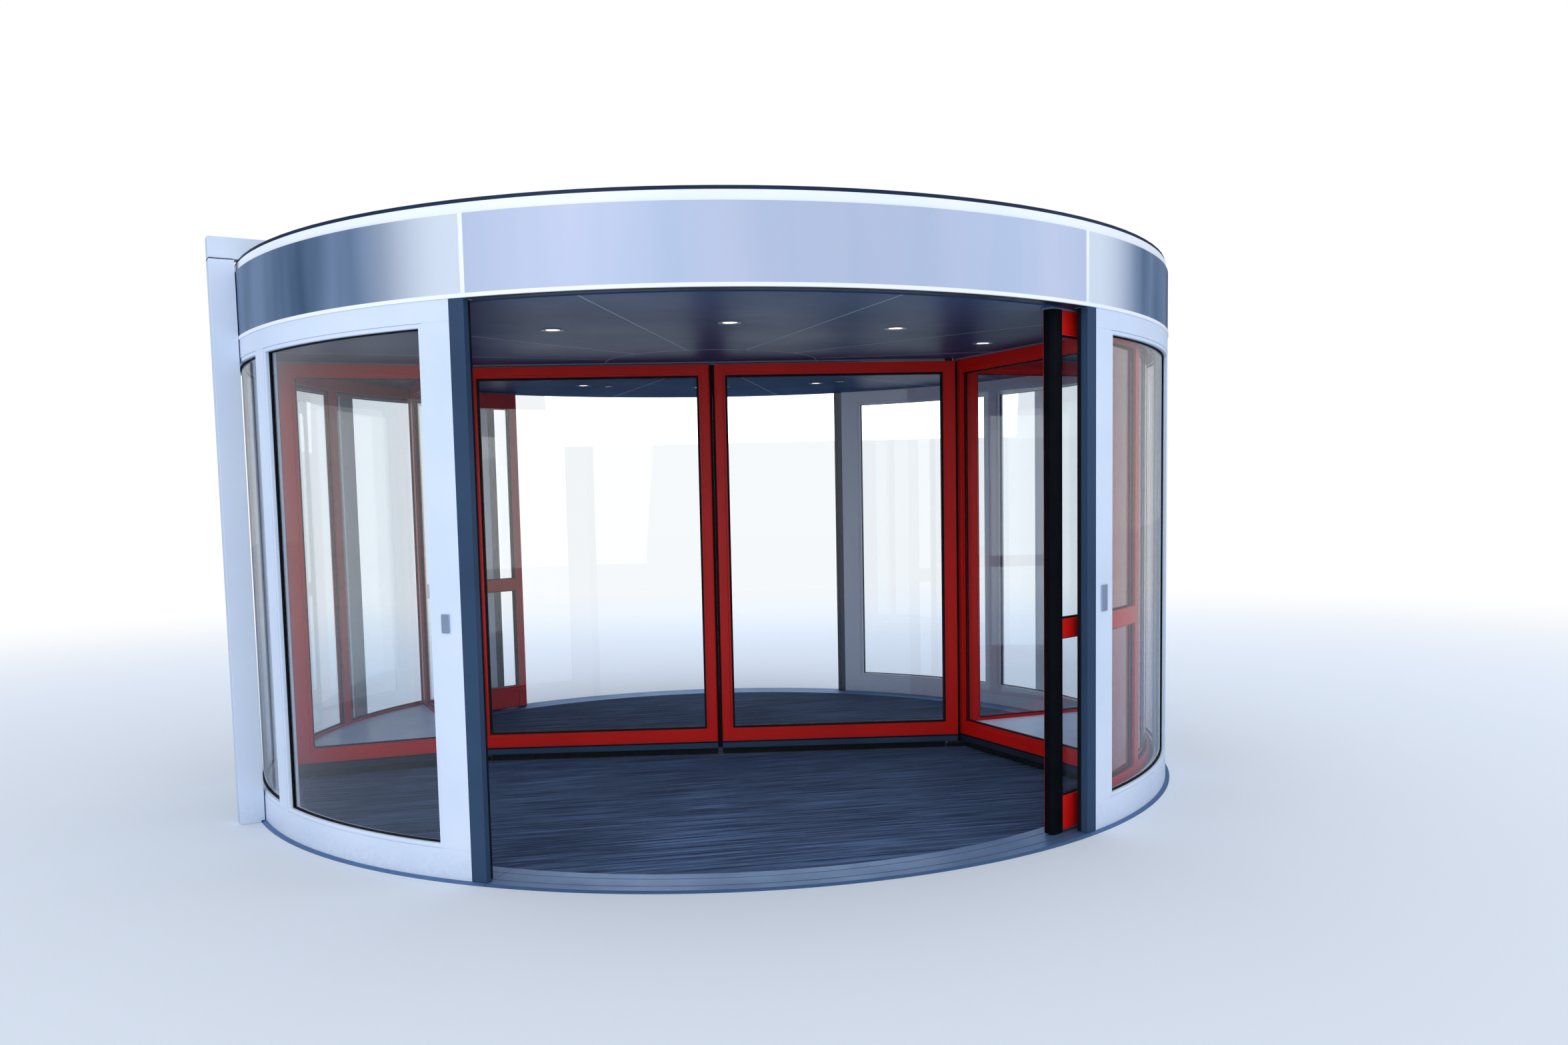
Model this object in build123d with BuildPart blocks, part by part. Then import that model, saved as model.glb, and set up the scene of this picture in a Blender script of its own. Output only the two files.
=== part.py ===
"""A large two-wing revolving door: a round drum with a canopy, a turning pair of glazed wings, and the posts
that join it to a glass facade.

The axis of the drum is Z, the street lies on the -Y side, and everything below 0 is ground. Lengths are
millimetres and angles are degrees, counted from +X against the clock as seen from above.
"""
import os
from math import atan2, cos, degrees, hypot, radians, sin, sqrt

from build123d import *

os.makedirs("parts", exist_ok=True)

# Drum: plan
drum_radius = 2400
wall_depth = 60
opening_half_angle = 31.0
post_width = 65
post_depth = 32
stile_width = 126
mullion_width = 96
panes_per_wall = 4
wall_glass_setback = 25
glass_thickness = 12

# Drum: heights
floor_ring_height = 8
mat_height = 6
passage_height = 2204
bottom_rail_height = 118
top_rail_height = 80
trim_height = 16
fascia_height = 287
lip_height = 40
roof_thickness = 12

# Floor
floor_ring_overhang = 20
floor_ring_width = 215
floor_joint = 3

# Canopy
fascia_depth = 20
fascia_joint = 3
trim_overhang = 4
beam_depth = 42
lip_setback = 10
lip_depth = 48
roof_setback = 14
track_sides = 36
ledge_reach = 135
ledge_thickness = 20
ledge_rise = 80

# Joining posts to the facade
facade_angle = 18.5
jamb_width = 110
jamb_depth = 90
head_beam_height = 95
head_beam_depth = 80

# Switch plates on the two street stiles
plate_thickness = 6
left_plate_width = 36
left_plate_height = 72
right_plate_width = 46
right_plate_height = 112
plate_middle_height = 1000
left_plate_shift = -0.15

# Rotor: plan, in the wings' own frame, where the two leaves stand along X
rest_angle = -9.1
rotor_clearance = 20
wing_depth = 50
leaf_gap = 25
leaf_corner_gap = 27
leaf_pivot_inset = 32
leaf_meeting_stile_width = 66
leaf_hinge_stile_width = 74
leaf_nose_radius = 10
corner_x = 1377
corner_y = -12
corner_back_y = 50
leg_end_angle = -33.8
back_leg_end_angle = 8.2
corner_overlap = 56
leg_stile_width = 80
front_stile_width = 70
shield_end_angle = -51.6
edge_post_width = 66
edge_post_proud = 5
edge_nose_radius = 20

# Glazing of the flat frames: how far a pane stands in its groove, and the bead along it
pane_bite = 12
bead_width = 18
bead_setback = 6

# Rotor: heights
brush_gap = 6
brush_top = 48
wing_bottom = 88
wing_bottom_rail = 78
wing_top_rail = 66
leaf_head_gap = 6
head_channel_height = 7
shield_bottom = 22
shield_bottom_rail = 143
shield_top_rail = 100
shield_middle_rail_low = 840
shield_middle_rail_height = 80
case_floor_top = 152
case_floor_thickness = 18
brush_depth = 18
brush_start = 90
head_channel_depth = 62

# Rotor: ceiling
ceiling_drop = 4
ceiling_panel_thickness = 20
ceiling_plate_thickness = 20
ceiling_clearance = 12
centre_disc_radius = 578
panel_count = 12
panel_joint = 4
ceiling_turn_angle = -11.7
lamp_circle_radius = 1526
lamp_radius = 52
lamp_flange_thickness = 3
lamp_box = 62
lamp_depth = 17
hanger_count = 12
hanger_width = 160
hanger_wall = 20
hanger_reach = 110
hanger_head_thickness = 15
hanger_gap = 30

# Pivots of the leaves
pivot_radius = 20
pivot_arm_width = 40
pivot_arm_length = 100
pivot_arm_thickness = 12

# Clearances
seat_gap = 0.3

# Levels and radii that follow from these
wall_inner_radius = drum_radius - wall_depth
rotor_radius = wall_inner_radius - rotor_clearance
ceiling_height = passage_height - ceiling_drop
leaf_edge = corner_x - leaf_corner_gap
wall_bottom = floor_ring_height
glass_low = wall_bottom + bottom_rail_height
glass_high = passage_height - top_rail_height
wall_glass_outer = drum_radius - wall_glass_setback
wall_glass_inner = wall_glass_outer - glass_thickness
trim_top = passage_height + trim_height
fascia_top = trim_top + fascia_height
lip_top = fascia_top + lip_height
roof_top = lip_top + roof_thickness
post_angle = degrees(post_width / drum_radius)
stile_angle = degrees(stile_width / drum_radius)
mullion_angle = degrees(mullion_width / drum_radius)
wall_half_angle = 90 - opening_half_angle
frame_half_angle = wall_half_angle - post_angle
glazed_half_angle = frame_half_angle - stile_angle
pane_angle = (2 * glazed_half_angle - (panes_per_wall - 1) * mullion_angle) / panes_per_wall
rotor_inner_radius = rotor_radius - wing_depth
wing_head = ceiling_height - head_channel_height
brush_bottom = floor_ring_height + brush_gap
wing_glass_low = wing_bottom + wing_bottom_rail
leaf_top = wing_head - leaf_head_gap
wing_glass_high = leaf_top - wing_top_rail
sides = (("right", 0), ("left", 180))


def polar(radius, angle):
    """The point at a radius and an angle, in plan."""
    return (radius * cos(radians(angle)), radius * sin(radians(angle)))


def turned(height, angle=0.0):
    """A level plane at a height, turned about the drum's axis."""
    return Plane(origin=(0, 0, height), x_dir=(cos(radians(angle)), sin(radians(angle)), 0), z_dir=(0, 0, 1))


def ring_sector(inner, outer, start, end):
    """Adds the part of a flat ring between two angles to the sketch that is open."""
    with BuildLine() as outline:
        CenterArc((0, 0), outer, start, end - start)
        CenterArc((0, 0), inner, start, end - start)
        Line(polar(inner, start), polar(outer, start))
        Line(polar(inner, end), polar(outer, end))
    make_face(outline.edges())


def ring(inner, outer):
    """Adds a whole flat ring to the sketch that is open."""
    Circle(outer)
    Circle(inner, mode=Mode.SUBTRACT)


def point_along(start, direction, distance, aside=0.0):
    """A plan point on a line, moved to the left of the line's direction by aside."""
    run_x, run_y = cos(radians(direction)), sin(radians(direction))
    return (start[0] + distance * run_x - aside * run_y, start[1] + distance * run_y + aside * run_x)


def reach_circle(start, direction, radius):
    """How far a line runs from its start to a circle about the axis."""
    run_x, run_y = cos(radians(direction)), sin(radians(direction))
    along = start[0] * run_x + start[1] * run_y
    return -along + sqrt(along * along - hypot(*start) ** 2 + radius * radius)


def reach_line(start, direction, other, other_direction):
    """How far a line runs from its start to a second line."""
    run_x, run_y = cos(radians(direction)), sin(radians(direction))
    other_x, other_y = cos(radians(other_direction)), sin(radians(other_direction))
    apart = (other[0] - start[0]) * other_y - (other[1] - start[1]) * other_x
    return apart / (run_x * other_y - run_y * other_x)


# The mat that people walk on: a flat round disc let into the floor ring
floor_ring_outer = drum_radius + floor_ring_overhang
floor_ring_inner = floor_ring_outer - floor_ring_width
with BuildPart() as entrance_mat:
    with BuildSketch(Plane.XY):
        Circle(floor_ring_inner - seat_gap)
    extrude(amount=mat_height)
entrance_mat.part.label = "entrance_mat"
export_step(entrance_mat.part, "parts/entrance_mat.step")

# The floor ring under walls and openings, in four lengths that meet at the ends of the walls
floor_joint_angle = degrees(floor_joint / 2 / drum_radius)
with BuildPart() as floor_ring:
    for quarter in range(4):
        middle = 90 * quarter
        half = opening_half_angle if quarter % 2 else wall_half_angle
        reach = half - floor_joint_angle
        with BuildSketch(Plane.XY):
            ring_sector(floor_ring_inner, floor_ring_outer, middle - reach, middle + reach)
        extrude(amount=floor_ring_height)
floor_ring.part.label = "floor_ring"
export_step(floor_ring.part, "parts/floor_ring.step")

# The two fixed curved walls: rails above and below, stiles, mullions and curved panes
for side, middle in sides:
    with BuildPart() as bottom_rail:
        with BuildSketch(Plane.XY.offset(wall_bottom)):
            ring_sector(wall_inner_radius, drum_radius, middle - frame_half_angle, middle + frame_half_angle)
        extrude(amount=bottom_rail_height)
    bottom_rail.part.label = f"{side}_wall_bottom_rail"
    export_step(bottom_rail.part, f"parts/{side}_wall_bottom_rail.step")

    with BuildPart() as top_rail:
        with BuildSketch(Plane.XY.offset(glass_high)):
            ring_sector(wall_inner_radius, drum_radius, middle - frame_half_angle, middle + frame_half_angle)
        extrude(amount=top_rail_height)
    top_rail.part.label = f"{side}_wall_top_rail"
    export_step(top_rail.part, f"parts/{side}_wall_top_rail.step")

    with BuildPart() as uprights:
        first_pane = middle - glazed_half_angle
        with BuildSketch(Plane.XY.offset(glass_low)):
            ring_sector(wall_inner_radius, drum_radius, middle - frame_half_angle, first_pane)
            ring_sector(wall_inner_radius, drum_radius, middle + glazed_half_angle, middle + frame_half_angle)
            for count in range(1, panes_per_wall):
                mullion_start = first_pane + count * pane_angle + (count - 1) * mullion_angle
                ring_sector(wall_inner_radius, drum_radius, mullion_start, mullion_start + mullion_angle)
        extrude(amount=glass_high - glass_low)
    uprights.part.label = f"{side}_wall_uprights"
    export_step(uprights.part, f"parts/{side}_wall_uprights.step")

    with BuildPart() as wall_glass:
        with BuildSketch(Plane.XY.offset(glass_low)):
            for count in range(panes_per_wall):
                pane_start = first_pane + count * (pane_angle + mullion_angle)
                ring_sector(wall_glass_inner, wall_glass_outer, pane_start, pane_start + pane_angle)
        extrude(amount=glass_high - glass_low)
    wall_glass.part.label = f"{side}_wall_glass"
    export_step(wall_glass.part, f"parts/{side}_wall_glass.step")

# The dark posts that close the ends of the walls beside the two openings
with BuildPart() as opening_posts:
    with BuildSketch(Plane.XY.offset(wall_bottom)):
        for side, middle in sides:
            for way in (-1, 1):
                edges = sorted((middle + way * frame_half_angle, middle + way * wall_half_angle))
                ring_sector(drum_radius - post_depth, drum_radius, edges[0], edges[1])
    extrude(amount=passage_height - wall_bottom)
opening_posts.part.label = "opening_posts"
export_step(opening_posts.part, "parts/opening_posts.step")

# The small switch plates on the stiles at the street side
with BuildPart() as switch_plates:
    left_plate_angle = 180 + frame_half_angle - stile_angle / 2 + left_plate_shift
    right_plate_angle = -frame_half_angle + stile_angle / 2
    plates = (
        (left_plate_angle, left_plate_width, left_plate_height),
        (right_plate_angle, right_plate_width, right_plate_height),
    )
    for angle, width, height in plates:
        seat = polar(drum_radius + seat_gap, angle)
        face = Plane(
            origin=(seat[0], seat[1], plate_middle_height),
            x_dir=(-sin(radians(angle)), cos(radians(angle)), 0),
            z_dir=(cos(radians(angle)), sin(radians(angle)), 0),
        )
        with BuildSketch(face):
            Rectangle(width, height)
        extrude(amount=plate_thickness)
switch_plates.part.label = "switch_plates"
export_step(switch_plates.part, "parts/switch_plates.step")

# Canopy: the bottom trim that rests on the walls
with BuildPart() as canopy_trim:
    with BuildSketch(Plane.XY.offset(passage_height)):
        ring(rotor_radius + ceiling_clearance, drum_radius + trim_overhang)
    extrude(amount=trim_height)
canopy_trim.part.label = "canopy_trim"
export_step(canopy_trim.part, "parts/canopy_trim.step")

# Canopy: four bent metal sheets with open joints over the edges of the two openings
fascia_joint_angle = degrees(fascia_joint / 2 / drum_radius)
with BuildPart() as fascia_sheets:
    with BuildSketch(Plane.XY.offset(trim_top)):
        for side, middle in sides:
            wall_end = wall_half_angle - fascia_joint_angle
            ring_sector(drum_radius - fascia_depth, drum_radius, middle - wall_end, middle + wall_end)
        for middle in (90, 270):
            opening_end = opening_half_angle - fascia_joint_angle
            ring_sector(drum_radius - fascia_depth, drum_radius, middle - opening_end, middle + opening_end)
    extrude(amount=fascia_height)
fascia_sheets.part.label = "fascia_sheets"
export_step(fascia_sheets.part, "parts/fascia_sheets.step")

# Canopy: the ring beam behind the sheets, welded from straight lengths, with the ledge that carries the rotor
beam_outer = drum_radius - fascia_depth - seat_gap
beam_inner = beam_outer - beam_depth
ledge_inner = beam_inner - ledge_reach
ledge_low = trim_top + ledge_rise
ledge_top = ledge_low + ledge_thickness
with BuildPart() as running_track:
    with BuildSketch(Plane.XY.offset(trim_top)):
        RegularPolygon(beam_outer, track_sides)
        RegularPolygon(beam_inner, track_sides, mode=Mode.SUBTRACT)
    extrude(amount=fascia_height)
    with BuildSketch(Plane.XY.offset(ledge_low)):
        RegularPolygon(beam_inner, track_sides)
        RegularPolygon(ledge_inner, track_sides, mode=Mode.SUBTRACT)
    extrude(amount=ledge_thickness)
running_track.part.label = "running_track"
export_step(running_track.part, "parts/running_track.step")

# Canopy: the pale lip above the sheets and the roof that closes it
lip_outer = drum_radius - lip_setback
with BuildPart() as canopy_lip:
    with BuildSketch(Plane.XY.offset(fascia_top)):
        ring(lip_outer - lip_depth, lip_outer)
    extrude(amount=lip_height)
canopy_lip.part.label = "canopy_lip"
export_step(canopy_lip.part, "parts/canopy_lip.step")

with BuildPart() as roof_deck:
    with BuildSketch(Plane.XY.offset(lip_top)):
        Circle(drum_radius - roof_setback)
    extrude(amount=roof_thickness)
roof_deck.part.label = "roof_deck"
export_step(roof_deck.part, "parts/roof_deck.step")

# The two posts that join the drum to the facade, cut to the drum's curve and round the floor ring
jamb_outer = drum_radius + jamb_width
jamb_cut_radius = drum_radius + trim_overhang + seat_gap
for side, middle in sides:
    with BuildPart() as jamb:
        with BuildSketch(turned(0, middle + facade_angle)):
            with Locations((jamb_outer / 2, 0)):
                Rectangle(jamb_outer, jamb_depth)
            Circle(jamb_cut_radius, mode=Mode.SUBTRACT)
        extrude(amount=roof_top)
        with BuildSketch(Plane.XY):
            Circle(floor_ring_outer + seat_gap)
        extrude(amount=floor_ring_height + seat_gap, mode=Mode.SUBTRACT)
    jamb.part.label = f"{side}_jamb"
    export_step(jamb.part, f"parts/{side}_jamb.step")

# The head beam of the facade, over the roof from post to post
with BuildPart() as head_beam:
    with BuildSketch(turned(roof_top, facade_angle)):
        Rectangle(2 * jamb_outer, head_beam_depth)
    extrude(amount=head_beam_height)
head_beam.part.label = "head_beam"
export_step(head_beam.part, "parts/head_beam.step")

# Ceiling of the rotor: a carrying plate that hangs on the ledge of the canopy by twelve hooked brackets
hanger_outer = ledge_inner * cos(radians(180 / track_sides)) - hanger_gap
hanger_inner = hanger_outer - hanger_wall
hanger_end = hanger_outer + hanger_reach
plate_bottom = ceiling_height + ceiling_panel_thickness
plate_top = plate_bottom + ceiling_plate_thickness
hanger_head_low = ledge_top + seat_gap
hanger_top = hanger_head_low + hanger_head_thickness
with BuildPart() as ceiling_carrier:
    with BuildSketch(Plane.XY.offset(plate_bottom)):
        Circle(rotor_radius)
    extrude(amount=ceiling_plate_thickness)
    for index in range(hanger_count):
        outward = Vector(*polar(1, index * 360 / hanger_count), 0)
        upright = Plane(origin=(0, 0, 0), x_dir=outward, z_dir=outward.cross(Vector(0, 0, 1)))
        with BuildSketch(upright):
            with BuildLine():
                Polyline(
                    (hanger_inner, plate_top),
                    (hanger_outer, plate_top),
                    (hanger_outer, hanger_head_low),
                    (hanger_end, hanger_head_low),
                    (hanger_end, hanger_top),
                    (hanger_inner, hanger_top),
                    close=True,
                )
            make_face()
        extrude(amount=hanger_width / 2, both=True)
ceiling_carrier.part.label = "ceiling_carrier"
export_step(ceiling_carrier.part, "parts/ceiling_carrier.step")

# Ceiling of the rotor: a round disc and twelve sectors about it, ten of them with a hole for a lamp
panel_pitch = 360 / panel_count
case_middle_angle = (leg_end_angle + back_leg_end_angle) / 2
# No lamp stands in the two sectors that the back legs cross
lamp_angles = [panel_pitch * (index + 0.5) for index in range(panel_count) if index % (panel_count // 2)]
lamp_places = [polar(lamp_circle_radius, angle) for angle in lamp_angles]
with BuildPart() as ceiling_panels:
    with BuildSketch(turned(ceiling_height, rest_angle + ceiling_turn_angle)):
        ring(centre_disc_radius, rotor_radius)
        with PolarLocations(0, panel_count):
            with Locations((rotor_radius / 2, 0)):
                Rectangle(rotor_radius, panel_joint, mode=Mode.SUBTRACT)
        Circle(centre_disc_radius - panel_joint)
        with Locations(*lamp_places):
            Rectangle(lamp_box + 2 * seat_gap, lamp_box + 2 * seat_gap, mode=Mode.SUBTRACT)
    extrude(amount=ceiling_panel_thickness)
ceiling_panels.part.label = "ceiling_panels"
export_step(ceiling_panels.part, "parts/ceiling_panels.step")

# The recessed lamps: a box in the panel's hole with a thin round flange below it
with BuildPart() as lamps:
    with BuildSketch(turned(ceiling_height, rest_angle + ceiling_turn_angle)):
        with Locations(*lamp_places):
            Rectangle(lamp_box, lamp_box)
    extrude(amount=lamp_depth)
    with BuildSketch(turned(ceiling_height, rest_angle + ceiling_turn_angle)):
        with Locations(*lamp_places):
            Circle(lamp_radius)
    extrude(amount=-lamp_flange_thickness)
lamps.part.label = "lamps"
export_step(lamps.part, "parts/lamps.step")

# Plan of one wing: the street leg and the back leg run from a corner beside the leaf to the rotor's circle
corner = (corner_x, corner_y)
leg_end = polar(rotor_radius, leg_end_angle)
leg_direction = degrees(atan2(leg_end[1] - corner[1], leg_end[0] - corner[0]))
back_corner = (corner_x, corner_back_y)
back_end = polar(rotor_radius, back_leg_end_angle)
back_direction = degrees(atan2(back_end[1] - back_corner[1], back_end[0] - back_corner[0]))
leg_start = point_along(corner, leg_direction, -corner_overlap)
leg_cut_radius = rotor_inner_radius - seat_gap
leg_reach = reach_circle(leg_start, leg_direction, leg_cut_radius)
leg_inner_face = point_along(leg_start, leg_direction, 0, wing_depth)
leg_inner_reach = reach_circle(leg_inner_face, leg_direction, leg_cut_radius)
back_inner_corner = point_along(back_corner, back_direction, 0, -wing_depth)
back_root = max(
    reach_line(back_corner, back_direction, leg_inner_face, leg_direction),
    reach_line(back_inner_corner, back_direction, leg_inner_face, leg_direction),
)
back_reach = reach_circle(back_corner, back_direction, leg_cut_radius)
back_inner_reach = reach_circle(back_inner_corner, back_direction, leg_cut_radius)


def wing_plane(height, turn):
    """A level plane of the rotor at rest; turn is 0 for the right wing and 180 for the left."""
    return turned(height, rest_angle + turn)


def leg_outline(side_depth, inset, run=0):
    """Adds the street leg's plan to the open sketch, inset from its street face and started after a run."""
    start = point_along(leg_start, leg_direction, run, inset)
    with BuildLine() as outline:
        Polyline(
            start,
            point_along(start, leg_direction, rotor_radius),
            point_along(start, leg_direction, rotor_radius, side_depth),
            point_along(start, leg_direction, 0, side_depth),
            close=True,
        )
    make_face(outline.edges())
    Circle(leg_cut_radius, mode=Mode.INTERSECT)


def back_leg_outline(side_depth, inset, run=0):
    """Adds the plan of the back leg, whose inner end is cut along the street leg's inner face."""
    start = point_along(back_corner, back_direction, run, -inset)
    with BuildLine() as outline:
        Polyline(
            start,
            point_along(start, back_direction, rotor_radius),
            point_along(start, back_direction, rotor_radius, -side_depth),
            point_along(start, back_direction, 0, -side_depth),
            close=True,
        )
    make_face(outline.edges())
    cutter = point_along(leg_start, leg_direction, -rotor_radius)
    with BuildLine() as cut:
        Polyline(
            cutter,
            point_along(cutter, leg_direction, 2 * rotor_radius),
            point_along(cutter, leg_direction, 2 * rotor_radius, wing_depth),
            point_along(cutter, leg_direction, 0, wing_depth),
            close=True,
        )
    make_face(cut.edges(), mode=Mode.SUBTRACT)
    Circle(leg_cut_radius, mode=Mode.INTERSECT)


def pane_plane(start, direction, aside, turn):
    """An upright plane of the rotor whose X runs along a leg and whose Y is up."""
    place = point_along(start, direction, 0, aside)
    base = wing_plane(0, turn)
    origin = base.from_local_coords(Vector(place[0], place[1], 0))
    along = base.from_local_coords(Vector(*point_along(place, direction, 1), 0)) - origin
    return Plane(origin=origin, x_dir=along, z_dir=along.cross(Vector(0, 0, 1)))


def glaze(plane, place, width, height):
    """Cuts a pane's opening into the flat frame that is open, with a groove for the pane and two beads."""
    with BuildSketch(plane) as opening:
        with Locations(place):
            Rectangle(width, height)
    extrude(opening.sketch, amount=wing_depth, both=True, mode=Mode.SUBTRACT)
    with BuildSketch(plane) as groove:
        with Locations(place):
            Rectangle(width + 2 * (pane_bite + seat_gap), height + 2 * (pane_bite + seat_gap))
    extrude(groove.sketch, amount=glass_thickness / 2 + seat_gap, both=True, mode=Mode.SUBTRACT)
    for low in (-wing_depth / 2, wing_depth / 2 - bead_setback):
        with BuildSketch(plane.offset(low)) as bead:
            with Locations(place):
                Rectangle(width + 2 * bead_width, height + 2 * bead_width)
        extrude(bead.sketch, amount=bead_setback, mode=Mode.SUBTRACT)


leg_glass_start = leg_stile_width
leg_glass_end = min(leg_reach, leg_inner_reach) - leg_stile_width
back_glass_start = back_root + leg_stile_width
back_glass_end = min(back_reach, back_inner_reach) - leg_stile_width
leg_glass_width = leg_glass_end - leg_glass_start
back_glass_width = back_glass_end - back_glass_start
wing_glass_middle = (wing_glass_low + wing_glass_high) / 2
wing_glass_height = wing_glass_high - wing_glass_low
front_stile_angle = degrees(front_stile_width / rotor_radius)
front_panes = (
    (leg_end_angle + front_stile_angle, case_middle_angle - front_stile_angle / 2),
    (case_middle_angle + front_stile_angle / 2, back_leg_end_angle - front_stile_angle),
)
pane_outer = rotor_radius - (wing_depth - glass_thickness) / 2
pane_inner = pane_outer - glass_thickness
edge_end_angle = shield_end_angle - degrees(edge_post_width / rotor_radius)

for side, turn in sides:
    # The street leg of the display case, a red frame round one pane
    with BuildPart() as street_leg:
        with BuildSketch(wing_plane(wing_bottom, turn)):
            leg_outline(wing_depth, 0)
        extrude(amount=wing_head - wing_bottom)
        glaze(
            pane_plane(leg_start, leg_direction, wing_depth / 2, turn),
            ((leg_glass_start + leg_glass_end) / 2, wing_glass_middle),
            leg_glass_width,
            wing_glass_height,
        )
    street_leg.part.label = f"{side}_street_leg"
    export_step(street_leg.part, f"parts/{side}_street_leg.step")

    # The back leg of the display case
    with BuildPart() as back_leg:
        with BuildSketch(wing_plane(wing_bottom, turn)):
            back_leg_outline(wing_depth, 0)
        extrude(amount=wing_head - wing_bottom)
        glaze(
            pane_plane(back_corner, back_direction, -wing_depth / 2, turn),
            ((back_glass_start + back_glass_end) / 2, wing_glass_middle),
            back_glass_width,
            wing_glass_height,
        )
    back_leg.part.label = f"{side}_back_leg"
    export_step(back_leg.part, f"parts/{side}_back_leg.step")

    # The curved front of the display case: rails, two stiles and a mullion
    with BuildPart() as case_front:
        with BuildSketch(wing_plane(wing_bottom, turn)):
            ring_sector(rotor_inner_radius, rotor_radius, leg_end_angle, back_leg_end_angle)
        extrude(amount=wing_head - wing_bottom)
        with BuildSketch(wing_plane(wing_glass_low, turn)):
            for start, end in front_panes:
                ring_sector(rotor_inner_radius - wing_depth, rotor_radius + wing_depth, start, end)
        extrude(amount=wing_glass_height, mode=Mode.SUBTRACT)
    case_front.part.label = f"{side}_case_front"
    export_step(case_front.part, f"parts/{side}_case_front.step")

    # The shield that runs on from the case: three curved rails
    with BuildPart() as shield_rails:
        shield_levels = (
            (shield_bottom, shield_bottom_rail),
            (shield_middle_rail_low, shield_middle_rail_height),
            (wing_head - shield_top_rail, shield_top_rail),
        )
        for low, height in shield_levels:
            with BuildSketch(wing_plane(low, turn)):
                ring_sector(rotor_inner_radius, rotor_radius, shield_end_angle, leg_end_angle)
            extrude(amount=height)
    shield_rails.part.label = f"{side}_shield_rails"
    export_step(shield_rails.part, f"parts/{side}_shield_rails.step")

    # The black safety edge at the end of the shield
    with BuildPart() as edge_post:
        with BuildSketch(wing_plane(brush_bottom, turn)):
            edge_outer = rotor_radius + edge_post_proud
            ring_sector(rotor_inner_radius, edge_outer, edge_end_angle, shield_end_angle)
        extrude(amount=wing_head - brush_bottom)
        edge_tip = Vector(*polar(rotor_radius, edge_end_angle), 0)
        nose = wing_plane((brush_bottom + wing_head) / 2, turn).from_local_coords(edge_tip)
        nose_edges = edge_post.edges().filter_by(Axis.Z).sort_by_distance(nose)[:2]
        fillet(nose_edges, radius=edge_nose_radius)
    edge_post.part.label = f"{side}_edge_post"
    export_step(edge_post.part, f"parts/{side}_edge_post.step")

    # The glass of the wing: two flat panes in the legs, two curved ones in the front and two in the shield
    with BuildPart() as wing_glass:
        with BuildSketch(pane_plane(leg_start, leg_direction, wing_depth / 2, turn)):
            with Locations(((leg_glass_start + leg_glass_end) / 2, wing_glass_middle)):
                Rectangle(leg_glass_width + 2 * pane_bite, wing_glass_height + 2 * pane_bite)
        extrude(amount=glass_thickness / 2, both=True)
        with BuildSketch(pane_plane(back_corner, back_direction, -wing_depth / 2, turn)):
            with Locations(((back_glass_start + back_glass_end) / 2, wing_glass_middle)):
                Rectangle(back_glass_width + 2 * pane_bite, wing_glass_height + 2 * pane_bite)
        extrude(amount=glass_thickness / 2, both=True)
        with BuildSketch(wing_plane(wing_glass_low, turn)):
            for start, end in front_panes:
                ring_sector(pane_inner, pane_outer, start, end)
        extrude(amount=wing_glass_height)
        shield_glass_levels = (
            (shield_bottom + shield_bottom_rail, shield_middle_rail_low),
            (shield_middle_rail_low + shield_middle_rail_height, wing_head - shield_top_rail),
        )
        for low, high in shield_glass_levels:
            with BuildSketch(wing_plane(low, turn)):
                ring_sector(pane_inner, pane_outer, shield_end_angle, leg_end_angle)
            extrude(amount=high - low)
    wing_glass.part.label = f"{side}_wing_glass"
    export_step(wing_glass.part, f"parts/{side}_wing_glass.step")

    # The pale floor of the display case, held between its rails
    with BuildPart() as case_floor:
        with BuildSketch(wing_plane(case_floor_top - case_floor_thickness, turn)):
            with BuildLine():
                Polyline(
                    point_along(leg_start, leg_direction, 0, wing_depth),
                    point_along(leg_start, leg_direction, rotor_radius, wing_depth),
                    point_along(back_corner, back_direction, rotor_radius, -wing_depth),
                    close=True,
                )
            make_face()
            with BuildLine() as behind:
                Polyline(
                    point_along(back_corner, back_direction, -rotor_radius, -wing_depth),
                    point_along(back_corner, back_direction, 2 * rotor_radius, -wing_depth),
                    point_along(back_corner, back_direction, 2 * rotor_radius, rotor_radius),
                    point_along(back_corner, back_direction, -rotor_radius, rotor_radius),
                    close=True,
                )
            make_face(behind.edges(), mode=Mode.SUBTRACT)
            Circle(leg_cut_radius, mode=Mode.INTERSECT)
        extrude(amount=case_floor_thickness)
    case_floor.part.label = f"{side}_case_floor"
    export_step(case_floor.part, f"parts/{side}_case_floor.step")

# The grey profiles under the wings' frames, and the black brushes in them
with BuildPart() as wing_plinths:
    for side, turn in sides:
        with BuildSketch(wing_plane(brush_top, turn)):
            leg_outline(wing_depth, 0)
        extrude(amount=wing_bottom - brush_top)
        with BuildSketch(wing_plane(brush_top, turn)):
            back_leg_outline(wing_depth, 0)
        extrude(amount=wing_bottom - brush_top)
        with BuildSketch(wing_plane(brush_top, turn)):
            ring_sector(rotor_inner_radius, rotor_radius, leg_end_angle, back_leg_end_angle)
        extrude(amount=wing_bottom - brush_top)
wing_plinths.part.label = "wing_plinths"
export_step(wing_plinths.part, "parts/wing_plinths.step")

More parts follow.
